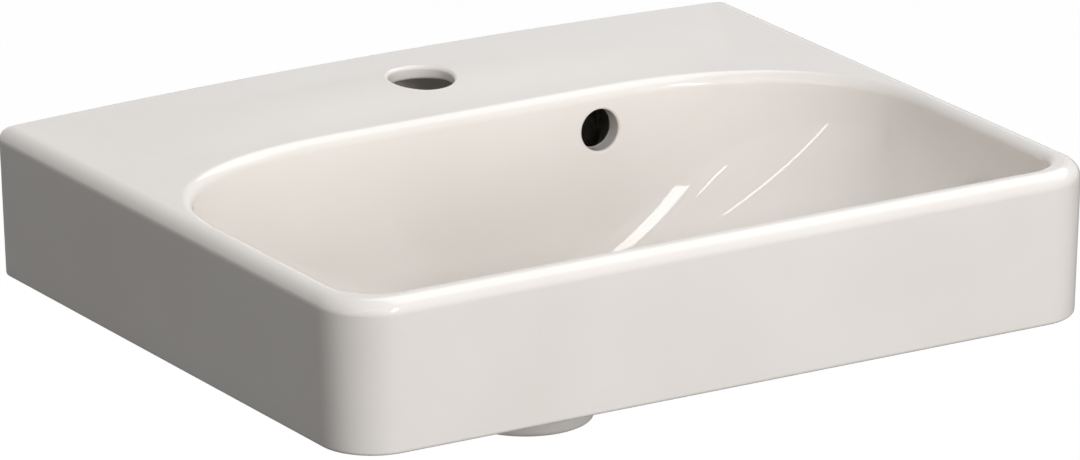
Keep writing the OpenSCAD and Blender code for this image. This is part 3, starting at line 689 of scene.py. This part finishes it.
combine(china, turned("boss", (
    [(BOSS_R + BOSS_FLARE, FLOOR - SHELL_T / 2)]
    + round_off(BOSS_R, FLOOR - SHELL_T + BOSS_BITE, BOSS_FLARE, 90, 180)
    + round_off(BOSS_R, BOSS_FOOT, BOSS_FOOT_R, 0, -90)), closed=False), "UNION")
duct_route = rounded(DUCT_CORNERS, DUCT_BEND, is_open=True, n=DUCT_BEND_STEPS)
combine(china, tube("duct", duct_route, DUCT_R + DUCT_T), "UNION")
combine(china, at_fixings("pad", (
    [(PAD_R + PAD_FLARE, -INNER_IN / 2)]
    + round_off(PAD_R, PAD_BITE - INNER_IN, PAD_FLARE, 90, 180)
    + round_off(PAD_R, PAD_END, PAD_EDGE_R, 0, -90))), "UNION")
print("china with boss, duct and pads:", len(china.data.polygons), "faces")

# %% [markdown]
# Glaze never ends in a sharp edge, so each hole opens with a small round lip. A boolean can't follow a surface
# that a tool only grazes, so the lip's arc starts a little steeper. The lips follow the deck and the curved
# wall, which are found by looking at them. The overflow is glazed through the bowl's thickness and raw beyond,
# where the raw china is painted near black as the shade deep in the duct.
# %% Holes
LIP_START, LIP_STEPS = 15, 6
TAP_R, TAP_Y, TAP_LIP = 17.5, -53, 2
# How far out from the tap hole, and how far above the deck's underside, the points of its lower edge lie.
TAP_UNDER_LIP = ((0, 1.5), (0.3, 0.7), (1, 0.1), (2, -0.4), (2, -4))
OVERFLOW_R, OVERFLOW_LIP, GLAZED_DEEP, RAW_STEP = 11.25, 1.5, 9, 0.1
SEAT_R, DRAIN_HOLE_R, STUD_HOLE_R = 32.2, 23, 11
GALLERY_R, GALLERY_LOW, GALLERY_HIGH = 31, -76.75, -69.75
RECESS_R, RECESS_DEEP = 29, 20
NUT_SEAT = BOSS_FOOT + RECESS_DEEP
TOOL_OVER, TOOL_UNDER = 2, 3
ABOVE_DECK, UNDER_DECK, INSIDE_BOWL_Y = TOP + 50, TOP - 25, -200


def lip_arc(r, lip):
    """Points of radius and depth on the round lip of a hole, from outside it to its wall."""
    start = radians(LIP_START)
    out = (r + lip * (1 - sin(start)), lip * (1 - cos(start)))
    far = (out[0] + lip, out[1] - lip * tan(start) - lip)
    return [far] + [(r + lip * (1 - sin(a)), lip * (1 - cos(a)))
                    for a in quarter(LIP_STEPS, LIP_START, 90) + [pi / 2]]


def seen_from(start, way):
    """The first place of the china that is met from there."""
    return china.ray_cast(Vector(start) * MM, Vector(way))[1] / MM


about_tap = about(0, TAP_Y)


def past_deck(start, way, r, gap):
    """That radius, and the height so far past the deck as seen from start, down or up, at each turn."""
    return r, lambda turn: seen_from(about_tap(r, turn, start), (0, 0, way)).z + way * gap


def about_overflow(r, turn, depth):
    """A point about the overflow's axis, that deep behind the bowl's wall."""
    x, z = DUCT_CORNERS[0].x + r * cos(turn), DUCT_CORNERS[0].z + r * sin(turn)
    wall_y = seen_from((x, INSIDE_BOWL_Y, z), (0, 1, 0)).y
    return Vector((x, DUCT_CORNERS[0].y if depth is None else wall_y + depth, z))


# The duct's bore and the throat behind the glaze take the china painted near black as shade.
combine(china, tube("duct_bore", duct_route, DUCT_R, DUCT_SHADE_CHINA), "DIFFERENCE")
throat_r = OVERFLOW_R - RAW_STEP
combine(china, turned("throat", [(throat_r, GLAZED_DEEP / 2), (throat_r, None)], about_overflow,
                      closed=False, finish=DUCT_SHADE_CHINA), "DIFFERENCE")
tap_tool = turned("tap_hole", (
    [past_deck(ABOVE_DECK, -1, r, depth) for r, depth in lip_arc(TAP_R, TAP_LIP)]
    + [past_deck(UNDER_DECK, 1, TAP_R + out, gap) for out, gap in TAP_UNDER_LIP]), about_tap, closed=False)
overflow_tool = turned("overflow", lip_arc(OVERFLOW_R, OVERFLOW_LIP) + [(OVERFLOW_R, GLAZED_DEEP)],
                       about_overflow, closed=False)
stack_tool = turned("drain_stack", (
    [(SEAT_R + 1.2, FLOOR + TOOL_OVER)] + round_off(SEAT_R, FLOOR, 1, 105, 180)
    + round_off(SEAT_R, SEAT, 0.4, 0, -90) + round_off(DRAIN_HOLE_R, SEAT, 0.8, 90, 180)
    + hoop(DRAIN_HOLE_R, GALLERY_R, GALLERY_HIGH, GALLERY_LOW)
    + round_off(DRAIN_HOLE_R, NUT_SEAT, 0.5, 180, 270) + round_off(RECESS_R, NUT_SEAT, 0.6, 90, 0)
    + round_off(RECESS_R, BOSS_FOOT, 1, 180, 255) + [(RECESS_R + 1.5, BOSS_FOOT - TOOL_UNDER)]), closed=False)
stud_tools = at_fixings("stud_hole", (
    [(STUD_HOLE_R, TOOL_OVER)] + round_off(STUD_HOLE_R, PAD_END, 0.8, 180, 255)
    + [(STUD_HOLE_R + 1.2, PAD_END - TOOL_UNDER)]))
combine(china, joined([tap_tool, overflow_tool, stack_tool, stud_tools]), "DIFFERENCE")
print("china with its holes:", len(china.data.polygons), "faces")

# %% [markdown]
# A dressed piece is shaded smooth but for its sharp edges. It rides on the body of the imported piece that it
# stands for.
# %% Shading and body
SMOOTH_BELOW = 35


def dress(piece, body, node):
    """The piece is shaded smooth, led by its larger faces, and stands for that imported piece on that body."""
    only(piece)
    bpy.ops.object.shade_smooth_by_angle(angle=radians(SMOOTH_BELOW))
    lead = piece.modifiers.new("lead", "WEIGHTED_NORMAL")
    lead.keep_sharp = True
    bpy.ops.object.modifier_apply(modifier=lead.name)
    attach(piece, body)
    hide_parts(node)
    print(piece.name, "on", body, "has", len(piece.data.polygons), "faces")


dress(china, "root", "ceramic_basin")

# %% [markdown]
# The metals, rubber and nylon. A lathe or a die leaves marks that are the same all the way round, so their
# pattern reads the radius about the drain's axis and the height, not the place itself.
# %% Finishes of the small pieces


def turned_place(tree, place):
    """The radius about the drain's axis and the height, as one vector."""
    from_axis = add_node(tree, "VectorMath", {
        "operation": "SUBTRACT", 1: (DRAIN.x * MM, DRAIN.y * MM, 0)}, {0: place})
    flat = add_node(tree, "VectorMath", {
        "operation": "MULTIPLY", 1: (1, 1, 0)}, {0: from_axis.outputs["Vector"]})
    radius = add_node(tree, "VectorMath", {"operation": "LENGTH"}, {0: flat.outputs["Vector"]})
    apart = add_node(tree, "SeparateXYZ", links={"Vector": place})
    return add_node(tree, "CombineXYZ", links={
        "X": radius.outputs["Value"], "Z": apart.outputs["Z"]}).outputs["Vector"]


def worked_finish(name, settings, tones, colour, grain, rise_mm, dull=None):
    """A finish from two patterns, each with its kind, size and detail. The first leads the colour and the
    second rises by that height. Roughness runs between the numbers of dull, with the rings if it has any."""
    finish, tree, shader, place = start_finish(name, settings)
    patterns = [noise(tree, turned_place(tree, place) if kind == "rings" else place, size, detail)
                for kind, size, detail in (colour, grain)]
    tree.links.new(two_tones(tree, patterns[0], *tones), shader.inputs["Base Color"])
    if dull:
        tree.links.new(spread(tree, patterns[grain[0] == "rings"], *dull), shader.inputs["Roughness"])
    raise_by(tree, shader, patterns[1], rise_mm)
    return finish


# Polished brass under bright chrome: a cool mirror with the faintest wander of the polishing wheel.
CHROME = worked_finish("polished chrome on brass", {"Metallic": 1.0, "Roughness": 0.07}, ("C3C5C8", "CDCFD1"),
                       ("cloud", 9, 2), ("cloud", 5, 3), 0.002)
# Brass as the lathe left it: yellow, satin, with fine rings, and a little browned where it was handled.
BRASS = worked_finish("turned brass", {"Metallic": 1.0}, ("C9A765", "DDBF7E"),
                      ("cloud", 7, 4), ("rings", 0.25, 3), 0.01, (0.24, 0.38))
# Bright zinc on pressed steel: pale, a little blue, cloudy where the bath was uneven.
ZINC = worked_finish("bright zinc plate", {"Metallic": 1.0}, ("A9AEB6", "C4C8CD"),
                     ("cloud", 3, 4), ("cloud", 0.8, 3), 0.01, (0.28, 0.42))
# Stainless wire and bar, drawn through a die: grey, smooth, with faint bands across the light.
STEEL = worked_finish("drawn stainless steel", {"Metallic": 1.0}, ("A3A5A8", "B8BABD"),
                      ("rings", 0.5, 2), ("rings", 0.5, 2), 0.003, (0.2, 0.3))
# Black rubber from a steel mould: dull, with a dusting of bloom and a fine grain.
RUBBER = worked_finish("moulded black rubber", {"IOR": 1.5}, ("1B1B1C", "2B2B2C"),
                       ("cloud", 4, 4), ("cloud", 0.4, 2), 0.02, (0.5, 0.7))
# Natural white nylon: milky, a touch warm, with the satin of its mould.
NYLON = worked_finish("moulded white nylon", {
    "IOR": 1.53, "Subsurface Weight": 0.2, "Subsurface Scale": 1.5 * MM}, ("E4E2D8", "ECEBE2"),
    ("cloud", 6, 3), ("cloud", 0.7, 2), 0.01, (0.35, 0.48))

# %% [markdown]
# Each small piece is turned from its own section, with softened corners, between levels that are read from the
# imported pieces, so that it stays where it fits. First come the wall fixings: collared sleeves, washers, nuts.
# %% Wall fixings
TIGHT, CLOSE, LOOSE = 0.05, 0.1, 0.2
STUD_R, COLLAR_R, WASHER_R = 5, 17, 14
NUT_AF, NUT_FACE, NUT_CHAMFER, CHAMFER_STEPS, NUT_LEAD = 17, 0.97, 30, 6, 0.5


def levels(node, axis=2):
    """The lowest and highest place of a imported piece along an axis, in millimetres."""
    low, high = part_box(node)
    return low[axis] / MM, high[axis] / MM


def turned_piece(name, node, finish, profile, body="root", closed=True):
    """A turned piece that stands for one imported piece."""
    dress(turned(name, profile, closed=closed, finish=finish), body, node)


def section_piece(name, node, finish, corners, size=0.25, body="root", closed=True):
    """The same, with softened corners."""
    turned_piece(name, node, finish, rounded(corners, size, is_open=not closed), body, closed)


def hexagon(across_flats, turn):
    """How far a hexagon reaches from its axis at that turn."""
    return across_flats / 2 / cos((turn + pi / 6) % (pi / 3) - pi / 6)


def nut_section(across_flats, bore_r, near, far):
    """The section of a hexagon nut. Its chamfer starts at NUT_FACE of the way to its flats."""
    way = 1 if far > near else -1
    touch = across_flats / 2 * NUT_FACE
    slope = tan(radians(NUT_CHAMFER))
    corner_r = across_flats / sqrt(3)
    drops = [k / CHAMFER_STEPS * (corner_r - touch) * slope for k in range(CHAMFER_STEPS + 1)]

    def limited(drop):
        return lambda turn: min(hexagon(across_flats, turn), touch + drop / slope)

    return (
        [(bore_r, near + way * NUT_LEAD), (bore_r + NUT_LEAD, near)]
        + [(limited(drop), near + way * drop) for drop in drops]
        + [(limited(drop), far - way * drop) for drop in drops[::-1]]
        + [(bore_r + NUT_LEAD, far), (bore_r, far - way * NUT_LEAD)])


collar_end, washer_end, nut_end = (
    levels(node, 1)[0] for node in ("fixing_sleeves", "fixing_washers", "fixing_nuts"))
sleeve_r = STUD_HOLE_R - LOOSE
for name, node, finish, profile in (
        ("nylon_sleeves", "fixing_sleeves", NYLON, rounded([
            (STUD_R + CLOSE, 0), (sleeve_r, 0), (sleeve_r, PAD_END), (COLLAR_R, PAD_END),
            (COLLAR_R, collar_end), (STUD_R + CLOSE, collar_end)], 0.6)),
        ("zinc_washers", "fixing_washers", ZINC, rounded(
            hoop(STUD_R + LOOSE, WASHER_R, collar_end, washer_end), 0.35)),
        ("zinc_nuts", "fixing_nuts", ZINC, nut_section(NUT_AF, STUD_R + CLOSE, washer_end, nut_end))):
    dress(at_fixings(name, profile, True, finish), "root", node)

# %% [markdown]
# The waste is one brass casting: a rounded flange in the bowl, a neck, and a threaded tail whose crests
# follow a helix. Four windows let the overflow in, and a cross of three arms inside carries the cartridge.
# %% Waste body
TAIL_R, TAIL_BORE_R = 20.95, 18.55
THREAD_PITCH, THREAD_DEEP, THREAD_STEPS = 2.309, 1.48, 8
THREAD_TOP, THREAD_FADE = -80, 3
FLANGE_R, NECK_R, MOUTH_R = 31.5, 22.5, 20.4
WINDOWS, WINDOW_W, WINDOW_H = 4, 14, 5
CROSS_ARMS, ARM_W, ARM_LOWER, HUB_R, HUB_BORE_R = 3, 3, 0.6, 8.5, 5.05

tail_low, flange_top = levels("waste_body")
flange_low = levels("flange_gasket")[1]
cross_low, cross_high = levels("cartridge_housing")[0], levels("cartridge_washer")[0]


def thread_r(z):
    """The radius of the thread at that height, as a function of the turn. It fades out at both ends."""
    fade = min(1, (z - tail_low) / THREAD_FADE, (THREAD_TOP - z) / THREAD_FADE)
    flat = (1 - fade) * (1 if z > tail_low + THREAD_FADE else -1)
    mid, half = TAIL_R - THREAD_DEEP / 2, THREAD_DEEP / 2
    return lambda turn: mid + half * (cos(2 * pi * z / THREAD_PITCH - turn) * fade + flat)


thread_count = round((THREAD_TOP - tail_low) / THREAD_PITCH * THREAD_STEPS)
thread = [(thread_r(z), z) for z in steps(tail_low, THREAD_TOP, thread_count)]
waste = turned("chrome_waste", (
    [(TAIL_BORE_R + 0.4, tail_low)] + thread + [(TAIL_R, THREAD_TOP)]
    + [(r, flange_low - down) for r, down in (
        (TAIL_R, 6), (NECK_R - 0.4, 4.6), (NECK_R, 4), (NECK_R, 0.3), (NECK_R + 0.3, 0), (FLANGE_R - 0.3, 0))]
    + arc(FLANGE_R - 0.7, flange_low + 0.7, 0.7, -60, 60)
    + round_off(FLANGE_R, flange_top, 3.2, 50, 90)
    + round_off(MOUTH_R, flange_top, 0.8, 90, 180)
    + [(MOUTH_R, flange_top - 3.6), (TAIL_BORE_R, flange_top - 6.9), (TAIL_BORE_R, tail_low + 0.4)]),
    finish=CHROME)


def blocks(count, r, z, size, first=0):
    """Equal cuboids all the way round the drain's axis, the first of them that share of a step along."""
    cubes = []
    for k in range(count):
        turn = 2 * pi * (k + first) / count
        bpy.ops.mesh.primitive_cube_add(size=1)
        cube = bpy.context.object
        cube.scale = Vector(size) * MM
        cube.rotation_euler.z = turn
        cube.location = about_drain(r, turn, z) * MM
        cubes.append(finished(cube, "block", CHROME))
    return joined(cubes)


arm_in, arm_out = HUB_R - 1, TAIL_BORE_R + 0.5
combine(waste, turned("hub", rounded(hoop(HUB_BORE_R, HUB_R, cross_low, cross_high), 0.5), finish=CHROME),
        "UNION")
combine(waste, blocks(CROSS_ARMS, (arm_in + arm_out) / 2, (cross_low + cross_high) / 2,
                      (arm_out - arm_in, ARM_W, cross_high - cross_low - ARM_LOWER)), "UNION")
combine(waste, blocks(WINDOWS, TAIL_R, (GALLERY_LOW + GALLERY_HIGH) / 2,
                      (2 * WINDOW_H, WINDOW_W, WINDOW_H), 0.5), "DIFFERENCE")
dress(waste, "root", "waste_body")

# %% [markdown]
# A rubber gasket lies under the flange. Under the china the slotted ring nut squeezes a conical seal into the
# drain hole, and a thin nylon washer between the two lets the nut turn.
# %% Seals and ring nut under the drain
slip_low, slip_top = levels("slip_washer")
seal_top = levels("lower_seal")[1]
nut_low = levels("ring_nut")[0]
SEAL_R, RING_NUT_R, THREAD_GRIP = 27, 26, 0.7
NUT_SLOTS, NUT_SLOT_W, NUT_SLOT_DEEP = 6, 4, 2

section_piece("rubber_flange_gasket", "flange_gasket", RUBBER,
              hoop(NECK_R + TIGHT, FLANGE_R - 1, SEAT, flange_low))
section_piece("rubber_lower_seal", "lower_seal", RUBBER, [
    (TAIL_R + TIGHT, slip_top), (SEAL_R, slip_top), (SEAL_R, NUT_SEAT), (DRAIN_HOLE_R - LOOSE, NUT_SEAT),
    (TAIL_R + 0.6, seal_top), (TAIL_R + TIGHT, seal_top)], size=0.4)
section_piece("nylon_slip_washer", "slip_washer", NYLON, hoop(TAIL_R + TIGHT, SEAL_R, slip_low, slip_top))
ring_nut = turned("brass_ring_nut", rounded(hoop(TAIL_R - THREAD_GRIP, RING_NUT_R, nut_low, slip_low), 0.6),
                  finish=BRASS)
combine(ring_nut, blocks(NUT_SLOTS, RING_NUT_R, nut_low, (2 * NUT_SLOT_DEEP, NUT_SLOT_W, slip_low - nut_low)),
        "DIFFERENCE")
dress(ring_nut, "root", "ring_nut")

# %% [markdown]
# The push-open cartridge stands on the cross: a brass cup with its foot through the hub, a rubber washer, and
# a nylon bush that closes the cup, with a seal ring round the stem. The spring gets shorter as the plug sinks.
# %% Cartridge
CUP_R, CUP_BORE_R, CUP_FOOT_R, CORE_R = 8.5, 6.9, 5, 1
STEM_R, RUN_GAP, GROOVE_DEEP = 4, 0.06, 1.26
bush_low, bush_top = levels("cartridge_bush")
cup_low, cup_top = levels("cartridge_washer")[1], levels("cartridge_housing")[1]
spring_low, spring_top = levels("return_spring")
ring_low, ring_top = levels("stem_seal")
index_low, index_top = levels("index_ring")

section_piece("brass_cartridge", "cartridge_housing", BRASS, [
    (CORE_R, cross_low), (CUP_FOOT_R, cross_low), (CUP_FOOT_R, cup_low), (CUP_R, cup_low), (CUP_R, cup_top),
    (CUP_BORE_R, cup_top), (CUP_BORE_R, spring_low), (CORE_R, spring_low)], closed=False)
section_piece("rubber_cartridge_washer", "cartridge_washer", RUBBER,
              hoop(CUP_FOOT_R + TIGHT, HUB_R, cross_high, cup_low))
guide_r, groove_r = STEM_R + RUN_GAP, STEM_R + GROOVE_DEEP
section_piece("nylon_bush", "cartridge_bush", NYLON, [
    (guide_r, bush_low), (CUP_BORE_R, bush_low), (CUP_BORE_R, cup_top), (CUP_R, cup_top), (CUP_R, bush_top),
    (guide_r, bush_top), (guide_r, ring_top), (groove_r, ring_top), (groove_r, ring_low), (guide_r, ring_low)],
    size=0.15)
ring_size = (ring_top - ring_low) / 2
turned_piece("rubber_stem_ring", "stem_seal", RUBBER,
             arc(guide_r + ring_size, ring_low + ring_size, ring_size, 0, 345, 23))

WIRE_R, WIRE_AROUND, COIL_GAP, COIL_TURNS, COIL_STEPS = 0.4, 12, 0.5, 6, 48
coil_r = CUP_BORE_R - COIL_GAP - WIRE_R
coil_low, coil_high = spring_low + TIGHT + WIRE_R, spring_top - WIRE_R


def coil_ring(k):
    """The wire's round section, k steps along the helix."""
    turn = 2 * pi * k / COIL_STEPS
    middle = about_drain(coil_r, turn, blend(coil_low, coil_high, k / (COIL_STEPS * COIL_TURNS)))
    out, up = Vector((cos(turn), sin(turn), 0)), Vector((0, 0, 1))
    return [middle + WIRE_R * (cos(a) * out + sin(a) * up) for a in whole_turn(WIRE_AROUND)]


coil = [coil_ring(k) for k in range(COIL_STEPS * COIL_TURNS + 1)]
spring = extruded_rings("steel_spring", coil, closed=False, finish=STEEL)
dress(spring, "root", "return_spring")
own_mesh(spring)

# %% [markdown]
# The plug is the one part of the waste that a hand meets: a crowned chrome cap with a rounded rim. Under it
# come its seal, the disc that clamps the seal, the lock nut, the stem, and the toothed ring at the stem's end.
# %% Plug and stem
CAP_R, CAP_EDGE_R, CAP_CROWN, CROWN_STEPS = 19.6, 1.1, 1.2, 12
STEP_R, SPIGOT_R, CARRIER_R, PLUG_THREAD_R, TIP_R = 10, 8, 16.5, 3, 3.5
LOCK_AF = 10
INDEX_TEETH, TOOTH_DEEP, INDEX_EDGE = 6, 0.7, 0.15
plug_seal_low, plug_seal_top = levels("plug_seal")
carrier_low, carrier_top = levels("plug_carrier")
lock_low, lock_top = levels("plug_lock_nut")
stem_low, stem_top = levels("plunger")
cap_foot, cap_top = levels("plug_cap")
plug_seal_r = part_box("plug_seal")[1].x / MM
head_low = index_top + RUN_GAP
head_top = bush_low - RUN_GAP


def crown(r):
    """The height of the cap's crowned top at that radius."""
    return cap_top - CAP_CROWN * (r / CAP_R) ** 2


crown_r = steps(CAP_R - CAP_EDGE_R, CORE_R, CROWN_STEPS) + [CORE_R]
turned_piece("chrome_plug", "plug_cap", CHROME, (
    [(CORE_R, cap_foot), (SPIGOT_R - 0.3, cap_foot), (SPIGOT_R, cap_foot + 0.3), (SPIGOT_R, carrier_top),
     (STEP_R - 0.2, carrier_top), (STEP_R, carrier_top + 0.2), (STEP_R, plug_seal_top)]
    + round_off(CAP_R, plug_seal_top, 0.5, -90, 0, 4)
    + round_off(CAP_R, crown(crown_r[0]), CAP_EDGE_R, 0, 84, 7)
    + [(r, crown(r)) for r in crown_r]), body="plug", closed=False)
section_piece("rubber_plug_seal", "plug_seal", RUBBER,
              hoop(STEP_R + TIGHT, plug_seal_r, plug_seal_low, plug_seal_top), body="plug")
screw_r, clamp_r = PLUG_THREAD_R + TIGHT, SPIGOT_R + TIGHT
section_piece("brass_carrier", "plug_carrier", BRASS, [
    (screw_r, carrier_low), (CARRIER_R, carrier_low), (CARRIER_R, carrier_top), (clamp_r, carrier_top),
    (clamp_r, cap_foot), (screw_r, cap_foot)], body="plug")
turned_piece("brass_lock_nut", "plug_lock_nut", BRASS,
             nut_section(LOCK_AF, screw_r, lock_low, lock_top), "plug")
section_piece("steel_plunger", "plunger", STEEL, [
    (CORE_R, stem_low), (TIP_R, stem_low), (TIP_R, head_low), (CUP_BORE_R - RUN_GAP, head_low),
    (CUP_BORE_R - RUN_GAP, head_top), (STEM_R, head_top), (STEM_R, lock_low), (PLUG_THREAD_R, lock_low),
    (PLUG_THREAD_R, stem_top), (CORE_R, stem_top)], body="plug", closed=False)


def toothed(turn):
    """The foot of the index ring, notched between its teeth."""
    step = 2 * pi / INDEX_TEETH
    away = abs((turn + step / 2) % step - step / 2) * (CUP_BORE_R + TIP_R) / 2
    return index_low + max(TOOTH_DEEP - away, 0)


index_in, index_out = TIP_R + RUN_GAP, CUP_BORE_R - RUN_GAP
turned_piece("nylon_index_ring", "index_ring", NYLON, [
    (index_in, toothed), (index_out - INDEX_EDGE, toothed),
    (index_out, lambda turn: toothed(turn) + INDEX_EDGE), (index_out, index_top - INDEX_EDGE),
    (index_out - INDEX_EDGE, index_top), (index_in, index_top)], "index")

# %% [markdown]
# A plain white floor lies well below the basin, which hangs on a wall. Its light path keeps it white to the
# eye, and paler than that in mirrors, while it throws little light up at the china, and from underneath it
# lets the eye through. The air is white to the eye and in mirrors, and lights the china only a little.
# %% Floor and air
FLOOR_LEVEL, FLOOR_WIDE = -0.85, 60
FLOOR_SEEN, FLOOR_MIRRORED = 0.95, 0.25
AMBIENT = 0.14

white, tree, shader = start_finish("white studio floor", {
    "Roughness": 0.9, "Base Color": linear("666666"), "Specular IOR Level": 0.0,
    "Emission Color": (1, 1, 1, 1)})[:3]
path = add_node(tree, "LightPath").outputs
mirrored = maths(tree, "MULTIPLY", path["Is Glossy Ray"], FLOOR_MIRRORED)
seen = maths(tree, "MULTIPLY_ADD", path["Is Camera Ray"], FLOOR_SEEN, mirrored)
below = add_node(tree, "NewGeometry").outputs["Backfacing"]
tree.links.new(seen, shader.inputs["Emission Strength"])
tree.links.new(maths(tree, "SUBTRACT", 1.0, below), shader.inputs["Alpha"])

bpy.ops.mesh.primitive_plane_add(size=FLOOR_WIDE, location=(0, 0, FLOOR_LEVEL))
floor = finished(bpy.context.object, "floor", white)

world = bpy.data.worlds.new("studio")
bpy.context.scene.world = world
world.use_nodes = True
air = world.node_tree
air.nodes.clear()
path = add_node(air, "LightPath").outputs
seen = maths(air, "MAXIMUM", path["Is Camera Ray"], path["Is Glossy Ray"])
seen = maths(air, "MAXIMUM", seen, path["Is Transmission Ray"])
strength = add_node(air, "MapRange", {"To Min": AMBIENT, "To Max": 1.0}, {"Value": seen})
sky = add_node(air, "Background", {"Color": (1, 1, 1, 1)}, {"Strength": strength.outputs["Result"]})
add_node(air, "OutputWorld", links={"Surface": sky.outputs["Background"]})

# %% [markdown]
# Glaze shows its lamps, so their places are read from the streaks in the bowl: three slanted strips in front.
# They are bright but small, so the even light comes from large softboxes that stay out of the reflections. The
# pale gleam along the rims is a large panel on the right, which is only seen in the glaze.
# %% Lamps
LAMP_AWAY = 3


def lamp(name, bearing, height, wide, high, watts, roll=0, mirrored=True, lights=True):
    """A lamp that faces the basin, at that bearing from straight behind and that height, in degrees. It may be
    left out of mirrors, or only be seen in them."""
    bearing, height = radians(bearing), radians(height)
    way = Vector((sin(bearing) * cos(height), cos(bearing) * cos(height), sin(height)))
    bpy.ops.object.light_add(type="AREA", location=Vector((0, -DEPTH / 2 * MM, 0)) + LAMP_AWAY * way)
    light = bpy.context.object
    light.name = name
    light.rotation_euler = way.to_track_quat("Z", "Y").to_euler()
    light.rotation_euler.rotate_axis("Z", radians(roll))
    light.data.shape = "RECTANGLE"
    light.data.size, light.data.size_y = wide, high
    light.data.energy = watts
    light.visible_glossy, light.visible_diffuse = mirrored, lights
    print(name, "shines with", watts, "W")


# Each row gives a lamp's name, bearing, height, two sizes in metres and watts, and a strip's also its roll.
for strip in (("band_strip", 170, 25.5, 1.2, 0.42, 11.5, 53),
              ("short_strip", -170, 23, 0.65, 0.05, 1, 50),
              ("long_strip", -128, 25, 4.2, 0.08, 7.5, 44)):
    lamp(*strip)
for softbox in (("low_front_softbox", 180, 8, 1.4, 0.8, 27),
                ("high_front_softbox", 180, 26, 1.4, 0.8, 29),
                ("low_side_softbox", 120, 6, 1.0, 0.7, 9),
                ("rear_softbox", 60, 50, 1.4, 1.0, 10),
                ("top_softbox", -60, 72, 1.2, 1.2, 25)):
    lamp(*softbox, mirrored=False)
lamp("rim_panel", 80, 54, 3.3, 2.6, 48, lights=False)
bpy.context.scene.view_settings.view_transform = "Standard"
